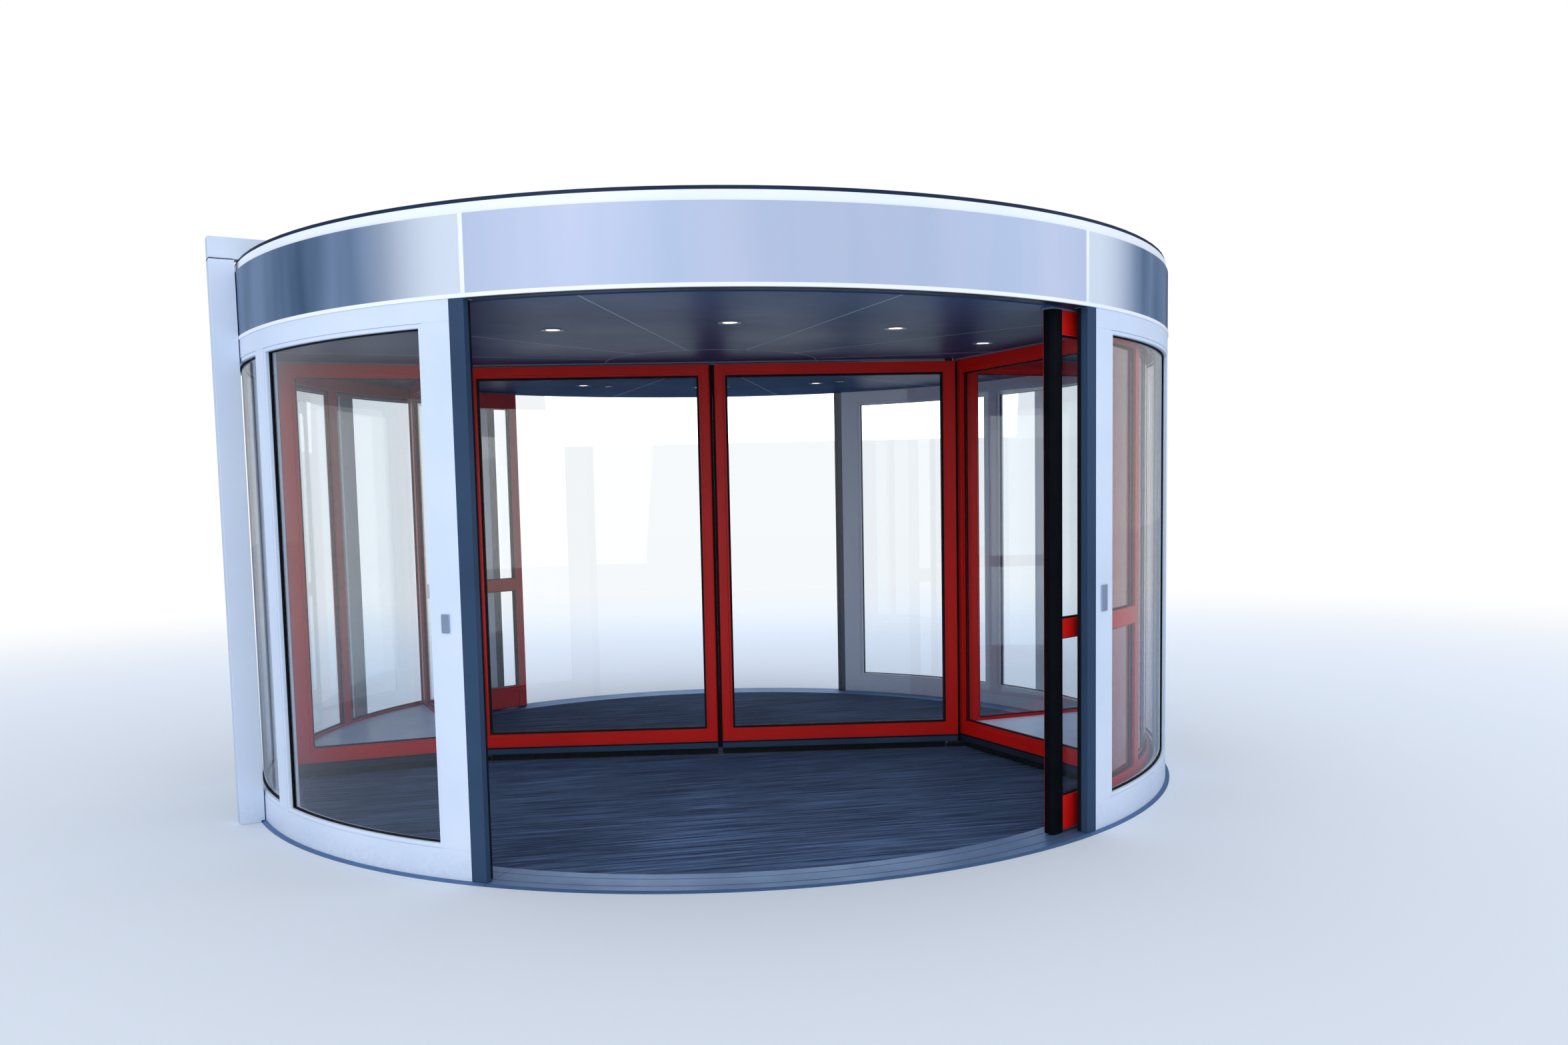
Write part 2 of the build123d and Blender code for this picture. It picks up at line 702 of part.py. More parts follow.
with BuildPart() as wing_brushes:
    brush_inset = (wing_depth - brush_depth) / 2
    front_brush_inner = rotor_inner_radius + brush_inset
    front_brush_outer = front_brush_inner + brush_depth
    for side, turn in sides:
        with BuildSketch(wing_plane(brush_bottom, turn)):
            leg_outline(brush_depth, brush_inset, brush_start)
        extrude(amount=brush_top - brush_bottom)
        with BuildSketch(wing_plane(brush_bottom, turn)):
            back_leg_outline(brush_depth, brush_inset, back_root + brush_start)
        extrude(amount=brush_top - brush_bottom)
        with BuildSketch(wing_plane(brush_bottom, turn)):
            ring_sector(front_brush_inner, front_brush_outer, leg_end_angle, back_leg_end_angle)
        extrude(amount=brush_top - brush_bottom)
        with BuildSketch(wing_plane(brush_bottom, turn)):
            ring_sector(front_brush_inner, front_brush_outer, shield_end_angle, leg_end_angle)
        extrude(amount=shield_bottom - brush_bottom)
wing_brushes.part.label = "wing_brushes"
export_step(wing_brushes.part, "parts/wing_brushes.step")

# The pale channels between the ceiling and the tops of the wings, broken at the pivots of the leaves
leaf_pivot_x = leaf_edge - leaf_pivot_inset
with BuildPart() as head_channels:
    channel_spread = (head_channel_depth - wing_depth) / 2
    for side, turn in sides:
        with BuildSketch(wing_plane(wing_head, turn)):
            leg_outline(head_channel_depth, -channel_spread)
        extrude(amount=head_channel_height)
        with BuildSketch(wing_plane(wing_head, turn)):
            back_leg_outline(head_channel_depth, -channel_spread)
        extrude(amount=head_channel_height)
        with BuildSketch(wing_plane(wing_head, turn)):
            ring_sector(rotor_inner_radius, rotor_radius, edge_end_angle, back_leg_end_angle)
        extrude(amount=head_channel_height)
    with BuildSketch(wing_plane(wing_head, 0)):
        Rectangle(2 * (leaf_pivot_x - pivot_radius - leaf_head_gap), head_channel_depth)
    extrude(amount=head_channel_height)
head_channels.part.label = "head_channels"
export_step(head_channels.part, "parts/head_channels.step")

# The pivots of the leaves: a block under the ceiling and an arm under the leaf's foot, at each hinge line
with BuildPart() as leaf_pivots:
    for side, turn in sides:
        with BuildSketch(wing_plane(leaf_top + seat_gap, turn)):
            with Locations((leaf_pivot_x, 0)):
                Circle(pivot_radius)
        extrude(amount=ceiling_height - leaf_top - seat_gap)
        with BuildSketch(wing_plane(brush_top - pivot_arm_thickness, turn)):
            with Locations((leaf_pivot_x, 0)):
                Circle(pivot_arm_width / 2)
            with Locations((leaf_pivot_x + pivot_arm_length / 2, 0)):
                Rectangle(pivot_arm_length, pivot_arm_width)
        extrude(amount=pivot_arm_thickness)
leaf_pivots.part.label = "leaf_pivots"
export_step(leaf_pivots.part, "parts/leaf_pivots.step")

# The two leaves that close the middle of the rotor: frame, pane, foot profile and brush
leaf_start = leaf_gap / 2
leaf_width = leaf_edge - leaf_start
leaf_middle_x = leaf_start + leaf_width / 2
leaf_glass_start = leaf_start + leaf_meeting_stile_width
leaf_glass_width = leaf_edge - leaf_hinge_stile_width - leaf_glass_start
leaf_glass_middle_x = leaf_glass_start + leaf_glass_width / 2
leaf_foot = brush_top + seat_gap
for side, turn in sides:
    with BuildPart() as leaf_frame:
        with BuildSketch(pane_plane((0, 0), 0, 0, turn)):
            with Locations((leaf_middle_x, (wing_bottom + leaf_top) / 2)):
                Rectangle(leaf_width, leaf_top - wing_bottom)
        extrude(amount=wing_depth / 2, both=True)
        meeting_edges = leaf_frame.edges().filter_by(Axis.Z).sort_by_distance((0, 0, wing_bottom))[:2]
        fillet(meeting_edges, radius=leaf_nose_radius)
        glaze(
            pane_plane((0, 0), 0, 0, turn),
            (leaf_glass_middle_x, wing_glass_middle),
            leaf_glass_width,
            wing_glass_height,
        )
    leaf_frame.part.label = f"{side}_leaf_frame"
    export_step(leaf_frame.part, f"parts/{side}_leaf_frame.step")

    with BuildPart() as leaf_glass:
        with BuildSketch(pane_plane((0, 0), 0, 0, turn)):
            with Locations((leaf_glass_middle_x, wing_glass_middle)):
                Rectangle(leaf_glass_width + 2 * pane_bite, wing_glass_height + 2 * pane_bite)
        extrude(amount=glass_thickness / 2, both=True)
    leaf_glass.part.label = f"{side}_leaf_glass"
    export_step(leaf_glass.part, f"parts/{side}_leaf_glass.step")

    with BuildPart() as leaf_plinth:
        with BuildSketch(wing_plane(leaf_foot, turn)):
            with Locations((leaf_middle_x, 0)):
                Rectangle(leaf_width, wing_depth)
        extrude(amount=wing_bottom - leaf_foot)
    leaf_plinth.part.label = f"{side}_leaf_plinth"
    export_step(leaf_plinth.part, f"parts/{side}_leaf_plinth.step")

    with BuildPart() as leaf_brush:
        with BuildSketch(wing_plane(brush_bottom, turn)):
            leaf_brush_end = leaf_pivot_x - pivot_arm_width
            with Locations(((leaf_start + leaf_brush_end) / 2, 0)):
                Rectangle(leaf_brush_end - leaf_start, brush_depth)
        extrude(amount=leaf_foot - brush_bottom)
    leaf_brush.part.label = f"{side}_leaf_brush"
    export_step(leaf_brush.part, f"parts/{side}_leaf_brush.step")
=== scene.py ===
import bmesh
import bpy
import numpy as np
from mathutils import Matrix, Vector


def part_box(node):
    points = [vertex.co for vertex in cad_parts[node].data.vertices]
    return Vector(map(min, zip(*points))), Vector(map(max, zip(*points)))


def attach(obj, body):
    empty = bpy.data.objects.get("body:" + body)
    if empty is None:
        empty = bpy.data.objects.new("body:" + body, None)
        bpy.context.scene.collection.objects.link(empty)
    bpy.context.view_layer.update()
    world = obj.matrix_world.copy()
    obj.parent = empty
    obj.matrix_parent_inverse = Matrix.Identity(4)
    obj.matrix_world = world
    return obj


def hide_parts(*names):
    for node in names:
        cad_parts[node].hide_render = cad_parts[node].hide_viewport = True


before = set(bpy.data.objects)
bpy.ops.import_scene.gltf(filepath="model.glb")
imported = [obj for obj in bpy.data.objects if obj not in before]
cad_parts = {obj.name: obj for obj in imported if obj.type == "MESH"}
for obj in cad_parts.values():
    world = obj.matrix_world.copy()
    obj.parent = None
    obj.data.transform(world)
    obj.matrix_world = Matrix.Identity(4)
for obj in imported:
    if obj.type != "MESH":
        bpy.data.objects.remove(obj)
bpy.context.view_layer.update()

# Camera: it stands on the street side at eye level, a little left of the opening, looking slightly down.
# Its lens, tilt and lean are those of the photograph, worked out from the drum's circles.
photo_width = 2352
photo_height = 1568
focal_pixels = 1837.8
axis_pixel_u = 1176.0
axis_pixel_v = 896.55
sensor_width = 36.0
eye = Vector((-1.0603, -6.7626, 1.4538))
heading = np.radians(-12.049)
tilt_down = np.radians(4.7105)
lean = -0.02002
view_reach = 200.0

forward = Vector((-np.sin(heading) * np.cos(tilt_down), np.cos(heading) * np.cos(tilt_down), -np.sin(tilt_down)))
level = Vector((np.cos(heading), np.sin(heading), 0.0))
upright = level.cross(forward)
right = level * np.cos(lean) + upright * np.sin(lean)
above = upright * np.cos(lean) - level * np.sin(lean)
lens = bpy.data.cameras.new("camera")
lens.sensor_width = sensor_width
lens.lens = focal_pixels * sensor_width / photo_width
lens.shift_x = (photo_width / 2 - axis_pixel_u) / photo_width
lens.shift_y = (axis_pixel_v - photo_height / 2) / photo_width
lens.clip_end = view_reach
camera = bpy.data.objects.new("camera", lens)
camera.matrix_world = Matrix.Translation(eye) @ Matrix((right, above, -forward)).transposed().to_4x4()
bpy.context.collection.objects.link(camera)
bpy.context.scene.camera = camera
bpy.context.scene.view_settings.view_transform = "Standard"

# Studio: a plain pale floor that fades to white far from the door, a white world, and three large soft lamps.
# The world counts as white where it is seen or looked at through glass, and lights more softly. What metal and
# panes mirror of world and floor is a dimmer blue grey, so that the panes stay clear.
floor_reach = 40.0
floor_pale = "#D9DFE8"
floor_dim = "#54647D"
fade_start = 4.5
fade_end = 13.0
sky_tone = "#EEF3FA"
sky_light = 1.1
mirror_tone = "#C6D8F0"
mirror_light = 0.33
lamp_aim = Vector((0.0, 0.0, 1.2))
lamps_set = (
    ("front_lamp", (-6.0, -9.5, 4.3), 8.0, 185.0),
    ("side_lamp", (9.5, -5.5, 5.5), 7.0, 120.0),
    ("rear_lamp", (2.5, 10.0, 5.5), 7.0, 190.0),
)


def colour(code):
    """The linear colour of an sRGB hex code: ((c + 0.055) / 1.055) to the power 2.4, or c / 12.92 where dark."""
    parts = np.array([int(code[i:i + 2], 16) for i in (1, 3, 5)]) / 255
    linear = np.where(parts > 0.04045, ((parts + 0.055) / 1.055) ** 2.4, parts / 12.92)
    return (*linear.tolist(), 1.0)


def add(tree, kind, sockets=None, **settings):
    """Adds a node with its settings; a socket's value may be a node's output, which is then linked to it."""
    node = tree.nodes.new(kind)
    for name, value in settings.items():
        setattr(node, name, value)
    for name, value in (sockets or {}).items():
        if isinstance(value, bpy.types.NodeSocket):
            tree.links.new(value, node.inputs[name])
        else:
            node.inputs[name].default_value = value
    return node


floor_mesh = bpy.data.meshes.new("studio_floor")
floor_corners = np.array(((-1, -1, 0), (1, -1, 0), (1, 1, 0), (-1, 1, 0))) * floor_reach
floor_mesh.from_pydata(floor_corners.tolist(), [], [(0, 1, 2, 3)])
floor = bpy.data.objects.new("studio_floor", floor_mesh)
bpy.context.collection.objects.link(floor)
studio_paint = bpy.data.materials.new("matt_studio_paint")
studio_paint.use_nodes = True
tree = studio_paint.node_tree
tree.nodes.clear()
place = add(tree, "ShaderNodeTexCoord")
radius = add(tree, "ShaderNodeVectorMath", {0: place.outputs["Object"]}, operation="LENGTH")
fade = add(tree, "ShaderNodeMapRange", {"Value": radius.outputs["Value"], "From Min": fade_start,
                                        "From Max": fade_end}, interpolation_type="SMOOTHSTEP")
seen = add(tree, "ShaderNodeLightPath")
looked_at = add(tree, "ShaderNodeMath", {0: seen.outputs["Is Camera Ray"], 1: seen.outputs["Is Transmission Ray"]},
                operation="MAXIMUM")
share = add(tree, "ShaderNodeMath", {0: fade.outputs["Result"], 1: looked_at.outputs[0]}, operation="MULTIPLY")
matt_seen = add(tree, "ShaderNodeBsdfDiffuse", {"Color": colour(floor_pale)})
matt_mirrored = add(tree, "ShaderNodeBsdfDiffuse", {"Color": colour(floor_dim)})
mirrored = add(tree, "ShaderNodeMath", {0: seen.outputs["Is Glossy Ray"], 1: seen.outputs["Is Transmission Ray"]},
               operation="SUBTRACT", use_clamp=True)
matt = add(tree, "ShaderNodeMixShader", {0: mirrored.outputs[0], 1: matt_seen.outputs[0],
                                         2: matt_mirrored.outputs[0]})
white = add(tree, "ShaderNodeEmission", {"Color": (1.0, 1.0, 1.0, 1.0), "Strength": 1.0})
blend = add(tree, "ShaderNodeMixShader", {0: share.outputs[0], 1: matt.outputs[0], 2: white.outputs[0]})
add(tree, "ShaderNodeOutputMaterial", {"Surface": blend.outputs[0]})
floor_mesh.materials.append(studio_paint)

world = bpy.data.worlds.new("studio")
bpy.context.scene.world = world
world.use_nodes = True
tree = world.node_tree
tree.nodes.clear()
seen = add(tree, "ShaderNodeLightPath")
looked_at = add(tree, "ShaderNodeMath", {0: seen.outputs["Is Camera Ray"], 1: seen.outputs["Is Transmission Ray"]},
                operation="MAXIMUM")
soft = add(tree, "ShaderNodeBackground", {"Color": colour(sky_tone), "Strength": sky_light})
dim = add(tree, "ShaderNodeBackground", {"Color": colour(mirror_tone), "Strength": mirror_light})
plain = add(tree, "ShaderNodeBackground", {"Color": (1.0, 1.0, 1.0, 1.0), "Strength": 1.0})
lit = add(tree, "ShaderNodeMixShader", {0: seen.outputs["Is Glossy Ray"], 1: soft.outputs[0], 2: dim.outputs[0]})
blend = add(tree, "ShaderNodeMixShader", {0: looked_at.outputs[0], 1: lit.outputs[0], 2: plain.outputs[0]})
add(tree, "ShaderNodeOutputWorld", {"Surface": blend.outputs[0]})

for name, spot, width, power in lamps_set:
    light = bpy.data.lights.new(name, "AREA")
    light.size = width
    light.energy = power
    lamp = bpy.data.objects.new(name, light)
    aim = lamp_aim - Vector(spot)
    lamp.matrix_world = Matrix.Translation(spot) @ aim.to_track_quat("-Z", "Y").to_matrix().to_4x4()
    bpy.context.collection.objects.link(lamp)

# Entrance mat: a round mat of ribbed polypropylene pile on a heavy backing, let into the floor ring.
# Its ribs run from side to side and lie unevenly, as trodden pile does.
mat_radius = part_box("entrance_mat")[1].x
mat_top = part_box("entrance_mat")[1].z
rib_pitch = 0.016
rib_depth = 0.0032
trodden_share = 0.35
least_chord = 0.02
edge_share = 0.9998


def finish(name, **values):
    """A new material with one shader whose own sockets take the values. Gives the material, its tree and shader,
    and the Object coordinates that its patterns read."""
    material = bpy.data.materials.new(name)
    material.use_nodes = True
    tree = material.node_tree
    tree.nodes.clear()
    shader = add(tree, "ShaderNodeBsdfPrincipled", {key.replace("_", " "): value for key, value in values.items()})
    add(tree, "ShaderNodeOutputMaterial", {"Surface": shader.outputs[0]})
    return material, tree, shader, add(tree, "ShaderNodeTexCoord").outputs["Object"]


def skin(name, grids, ring=False):
    """Puts grids of points into one mesh. Each row of a grid is a closed loop across the piece, and quads join
    point j of row i to point j + 1 and to row i + 1; with ring the last row meets the first, and otherwise one
    face closes each end."""
    points, faces, count = [], [], 0
    for grid in grids:
        rows, columns = grid.shape[:2]
        i, j = np.meshgrid(np.arange(rows if ring else rows - 1), np.arange(columns), indexing="ij")
        beside, below = (j + 1) % columns, (i + 1) % rows
        quads = np.stack((i * columns + j, i * columns + beside, below * columns + beside, below * columns + j), -1)
        faces += (quads.reshape(-1, 4) + count).tolist()
        if not ring:
            faces.append((np.arange(columns)[::-1] + count).tolist())
            faces.append((np.arange(columns) + count + (rows - 1) * columns).tolist())
        points.append(grid.reshape(-1, 3))
        count += rows * columns
    mesh = bpy.data.meshes.new(name)
    mesh.from_pydata(np.concatenate(points).tolist(), [], faces)
    shell = bmesh.new()
    shell.from_mesh(mesh)
    bmesh.ops.recalc_face_normals(shell, faces=shell.faces)
    shell.to_mesh(mesh)
    shell.free()
    return mesh


def show(mesh, material, body, slot, *nodes, sharp=35):
    """Makes a mesh a piece on a body, which stands for the nodes that are named, if any."""
    mesh.shade_smooth()
    mesh.set_sharp_from_angle(angle=np.radians(sharp))
    mesh.materials.append(material)
    piece = bpy.data.objects.new(mesh.name, mesh)
    bpy.context.collection.objects.link(piece)
    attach(piece, body)
    if nodes:
        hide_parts(*nodes)
    return piece


draw = np.random.default_rng(7)
rib_count = int(2 * mat_radius / rib_pitch)
rib_steps = np.array((0.0, 0.18, 0.32, 0.68, 0.82)) / rib_count
rib_rise = np.array((0.0, 0.0, 1.0, 1.0, 0.0))
rib_low = draw.uniform(0.0, trodden_share, (rib_count, 1))
across = (np.arange(rib_count)[:, None] / rib_count + rib_steps).ravel() * 2 - 1
crown = (mat_top - rib_depth * (1 - rib_rise * (1 - rib_low))).ravel()
across = np.append(across, 1.0)
crown = np.append(crown, mat_top - rib_depth)
half_chord = mat_radius * np.sqrt(np.maximum(1 - across ** 2, least_chord ** 2))
chord_steps = np.array((-1.0, -1.0, -0.6, -0.2, 0.2, 0.6, 1.0, 1.0))
on_top = np.array((0, 1, 1, 1, 1, 1, 1, 0))
# The mat as a grid: x is the step times the circle's half chord, y the place across, z the rib's crown
mat_grid = np.stack((
    half_chord[:, None] * chord_steps,
    np.repeat(across[:, None] * mat_radius * edge_share, len(chord_steps), 1),
    crown[:, None] * on_top,
), -1)
# Polypropylene pile: matt charcoal, with lighter and darker streaks along the ribs where feet have turned it
mat_pile, tree, shader, place = finish("ribbed_polypropylene_pile", Roughness=0.85, Specular_IOR_Level=0.35)
drawn_out = add(tree, "ShaderNodeMapping", {"Vector": place, "Scale": (1.6, 62.0, 1.0)})
streaks = add(tree, "ShaderNodeTexNoise", {"Vector": drawn_out.outputs[0], "Scale": 1.0, "Detail": 4.0,
                                           "Roughness": 0.65})
streak_span = add(tree, "ShaderNodeMapRange", {"Value": streaks.outputs[0], "From Min": 0.4, "From Max": 0.64})
pile_tone = add(tree, "ShaderNodeMix", {0: streak_span.outputs[0], 6: colour("#16223A"), 7: colour("#6885B5")},
                data_type="RGBA")
trodden = add(tree, "ShaderNodeTexNoise", {"Vector": place, "Scale": 1.3, "Detail": 2.0})
worn_tone = add(tree, "ShaderNodeMix", {0: trodden.outputs[0], 6: pile_tone.outputs[2], 7: colour("#2E4364")},
                data_type="RGBA")
grit = add(tree, "ShaderNodeTexNoise", {"Vector": place, "Scale": 260.0, "Detail": 1.0})
fibre = add(tree, "ShaderNodeBump", {"Height": grit.outputs[0], "Distance": 0.002, "Strength": 0.5})
tree.links.new(worn_tone.outputs[2], shader.inputs["Base Color"])
tree.links.new(fibre.outputs[0], shader.inputs["Normal"])
show(skin("mat_ribs", [mat_grid]), mat_pile, "drum", "ribbed_mat", "entrance_mat", sharp=25)

# Floor ring: the stainless threshold about the mat, in four bent lengths with open joints at the walls' ends.
# Its outer edge is ramped down to the ground, and two fine grooves run round it.
ring_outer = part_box("floor_ring")[1].x
ring_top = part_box("floor_ring")[1].z
ring_inner = 2.205
groove_radii = (2.266, 2.352)
groove_half = 0.003
groove_depth = 0.004
ramp_reach = 0.016
wall_half_angle = 59.0
opening_half_angle = 90 - wall_half_angle
ring_joint = 0.036
ring_round = 0.001
ramp_foot = 0.0015


def carried(profile, path):
    """Carries a profile along a path of places, sides and ups: point (i, j) is place i, plus a of profile point
    j times side i, plus b times up i."""
    places, sides, ups = path
    return places[:, None] + profile[:, :1] * sides[:, None] + profile[:, 1:] * ups[:, None]


def about_axis(start, end, facet=1.5, shut=True):
    """The path about the drum's axis between two angles in degrees, for profiles of radius and height: each side
    is (cos, sin, 0) of its angle and each up is vertical. A ring leaves out its last angle with shut=False."""
    turns = np.radians(np.linspace(start, end, max(2, round((end - start) / facet) + 1), endpoint=shut))
    sides = np.stack((np.cos(turns), np.sin(turns), 0 * turns), -1)
    return np.zeros_like(sides), sides, np.zeros_like(sides) + (0.0, 0.0, 1.0)


grooves = [(middle + across * groove_half, ring_top - drop * groove_depth) for middle in groove_radii
           for across, drop in ((-1, 0), (-1, 1), (1, 1), (1, 0))]
ring_profile = np.array((
    (ring_inner, 0.0), (ring_inner, ring_top - ring_round), (ring_inner + ring_round, ring_top), *grooves,
    (ring_outer - ramp_reach, ring_top), (ring_outer, ramp_foot), (ring_outer, 0.0),
))
ring_lengths = [
    carried(ring_profile, about_axis(middle - half + ring_joint, middle + half - ring_joint))
    for middle, half in zip((0, 90, 180, 270), (wall_half_angle, opening_half_angle) * 2)
]
# Stainless steel, ground along the ring and dulled by feet: soft grey gloss, paler on the inner strip
threshold_steel, tree, shader, place = finish("ground_stainless_steel", Metallic=0.55)
from_axis = add(tree, "ShaderNodeVectorMath", {0: place}, operation="LENGTH")
outside = add(tree, "ShaderNodeMapRange", {"Value": from_axis.outputs["Value"], "From Min": groove_radii[0],
                                           "From Max": groove_radii[1]})
strip_tone = add(tree, "ShaderNodeMix", {0: outside.outputs[0], 6: colour("#688CB9"), 7: colour("#5D81AF")},
                 data_type="RGBA")
dust = add(tree, "ShaderNodeTexNoise", {"Vector": place, "Scale": 5.0, "Detail": 6.0})
dust_span = add(tree, "ShaderNodeMapRange", {"Value": dust.outputs[0], "From Min": 0.4, "From Max": 0.75,
                                             "To Max": 0.35})
ring_tone = add(tree, "ShaderNodeMix", {0: dust_span.outputs[0], 6: strip_tone.outputs[2], 7: colour("#5A7598")},
                data_type="RGBA")
ring_gloss = add(tree, "ShaderNodeMapRange", {"Value": dust.outputs[0], "To Min": 0.38, "To Max": 0.62})
tree.links.new(ring_tone.outputs[2], shader.inputs["Base Color"])
tree.links.new(ring_gloss.outputs[0], shader.inputs["Roughness"])
show(skin("floor_ring_strips", ring_lengths), threshold_steel, "drum", "grey_ring", "floor_ring", sharp=12)

# Fixed walls: two curved frames of white coated aluminium profiles, with rails, two stiles and three mullions
# each. The rails run through, and the uprights are screwed between them.
merge_distance = 0.00003
flat_within = 0.2
edge_from = 35


def softened(node, material, body, slot, width=0.0015):
    """A copy of a node's mesh whose doubles are merged and flat faces joined, with its edges rounded by width."""
    shell = bmesh.new()
    shell.from_mesh(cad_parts[node].data)
    bmesh.ops.remove_doubles(shell, verts=shell.verts, dist=merge_distance)
    bmesh.ops.dissolve_limit(shell, angle_limit=np.radians(flat_within), verts=shell.verts, edges=shell.edges)
    mesh = bpy.data.meshes.new(node + "_finish")
    shell.to_mesh(mesh)
    shell.free()
    if "custom_normal" in mesh.attributes:
        mesh.attributes.remove(mesh.attributes["custom_normal"])
    piece = show(mesh, material, body, slot, node)
    rounding = piece.modifiers.new("rounded_edges", "BEVEL")
    rounding.width = width
    rounding.segments = 2
    rounding.limit_method = "ANGLE"
    rounding.angle_limit = np.radians(edge_from)
    rounding.harden_normals = True


def powder_coat(name, tone, shade, gloss=0.38, shine=0.5, dusty=None):
    """Powder coat, baked on aluminium: an even colour that clouds slightly towards its shade over half a metre,
    with a fine orange peel. The real peel is about 1 mm; it is drawn at 5 mm, as fine as the picture shows. Where
    dusty is given, that colour gathers over the lowest 150 mm, as rain splashes it."""
    material, tree, shader, place = finish(name, Specular_IOR_Level=shine)
    cloud = add(tree, "ShaderNodeTexNoise", {"Vector": place, "Scale": 2.2, "Detail": 4.0})
    cloud_span = add(tree, "ShaderNodeMapRange", {"Value": cloud.outputs[0], "From Min": 0.3, "From Max": 0.75})
    coat = add(tree, "ShaderNodeMix", {0: cloud_span.outputs[0], 6: colour(tone), 7: colour(shade)}, data_type="RGBA")
    if dusty:
        height = add(tree, "ShaderNodeSeparateXYZ", {0: place})
        low = add(tree, "ShaderNodeMapRange", {"Value": height.outputs["Z"], "From Min": 0.15, "From Max": 0.0,
                                               "To Max": 0.5})
        speckle = add(tree, "ShaderNodeTexNoise", {"Vector": place, "Scale": 45.0, "Detail": 5.0})
        settled = add(tree, "ShaderNodeMath", {0: low.outputs[0], 1: speckle.outputs[0]}, operation="MULTIPLY")
        coat = add(tree, "ShaderNodeMix", {0: settled.outputs[0], 6: coat.outputs[2], 7: colour(dusty)},
                   data_type="RGBA")
    peel = add(tree, "ShaderNodeTexNoise", {"Vector": place, "Scale": 200.0, "Detail": 1.0})
    peel_bump = add(tree, "ShaderNodeBump", {"Height": peel.outputs[0], "Distance": 0.0004, "Strength": 0.35})
    sheen = add(tree, "ShaderNodeMapRange", {"Value": cloud.outputs[0], "To Min": gloss - 0.06,
                                             "To Max": gloss + 0.08})
    tree.links.new(coat.outputs[2], shader.inputs["Base Color"])
    tree.links.new(sheen.outputs[0], shader.inputs["Roughness"])
    tree.links.new(peel_bump.outputs[0], shader.inputs["Normal"])
    return material


white_coat = powder_coat("powder_coated_aluminium_white", "#DBE8FB", "#CFDEF4", dusty="#9FADC2")
for side in ("right", "left"):
    for part in ("bottom_rail", "top_rail", "uprights"):
        softened(f"{side}_wall_{part}", white_coat, "drum", "white_coat", width=0.0008)

# Glazing beads and gaskets of the walls: a white snap-in bead along each edge of a pane, outside and inside,
# holds a black rubber gasket against the glass.
drum_radius = 2.400
wall_inner = 2.340
glass_outer = 2.375
glass_inner = 2.363
stile_width = 0.126
mullion_width = 0.096
post_width = 0.065
pane_count = 4
pane_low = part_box("right_wall_uprights")[0].z
pane_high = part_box("right_wall_uprights")[1].z
bead_gap = 0.0003
bead_reach = 0.017
bead_back = 0.0025
bead_off_glass = 0.004
bead_round = 0.002
gasket_gap = 0.0006
gasket_reach = 0.021
gasket_thickness = 0.0065
gasket_round = 0.0015
glass_gap = 0.0002


def bar(inner, outer, low, high, round_off, steps=3):
    """A rectangle with round corners as points (a, b): a quarter circle of the rounding about each corner's
    centre, one after another."""
    turns = np.linspace(0, np.pi / 2, steps + 1)
    centres = ((outer, high), (inner, high), (inner, low), (outer, low))
    inset = round_off * np.array(((-1, -1), (1, -1), (1, 1), (-1, 1)))
    return np.concatenate([
        np.array(centre) + inset[quarter] + round_off * np.stack((np.cos(turns + quarter * np.pi / 2),
                                                                  np.sin(turns + quarter * np.pi / 2)), -1)
        for quarter, centre in enumerate(centres)
    ])


def round_pane(start, end, low, high, facet=1.5):
    """The path round a curved pane, for profiles of inward distance and radius: along the foot and back along the
    head. A side points into the pane, slantwise at corners, and an up points away from the axis."""
    there = np.radians(np.linspace(start, end, round((end - start) / facet) + 1))
    turns = np.concatenate((there, there[::-1]))
    heights = np.repeat((low, high), len(there))
    rise = np.repeat((1.0, -1.0), len(there))
    ahead = np.zeros(len(turns))
    ahead[[0, -1]] = 1.0
    ahead[[len(there) - 1, len(there)]] = -1.0
    ups = np.stack((np.cos(turns), np.sin(turns), 0 * turns), -1)
    sides = np.stack((-np.sin(turns) * ahead, np.cos(turns) * ahead, rise), -1)
    return np.stack((0 * turns, 0 * turns, heights), -1), sides, ups


def mottled(name, scale, detail, tone, shade, gloss=None, bump=None, **values):
    """A material whose colour runs from tone to shade by a noise, whose scale is given along each axis. Gloss is
    the roughness at the noise's two ends, and bump the height and strength with which it stands out, if given."""
    material, tree, shader, place = finish(name, **values)
    drawn_out = add(tree, "ShaderNodeMapping", {"Vector": place, "Scale": scale})
    noise = add(tree, "ShaderNodeTexNoise", {"Vector": drawn_out.outputs[0], "Scale": 1.0, "Detail": detail})
    mixed = add(tree, "ShaderNodeMix", {0: noise.outputs[0], 6: colour(tone), 7: colour(shade)}, data_type="RGBA")
    tree.links.new(mixed.outputs[2], shader.inputs["Base Color"])
    if gloss:
        sheen = add(tree, "ShaderNodeMapRange", {"Value": noise.outputs[0], "To Min": gloss[0], "To Max": gloss[1]})
        tree.links.new(sheen.outputs[0], shader.inputs["Roughness"])
    if bump:
        relief = add(tree, "ShaderNodeBump", {"Height": noise.outputs[0], "Distance": bump[0], "Strength": bump[1]})
        tree.links.new(relief.outputs[0], shader.inputs["Normal"])
    return material


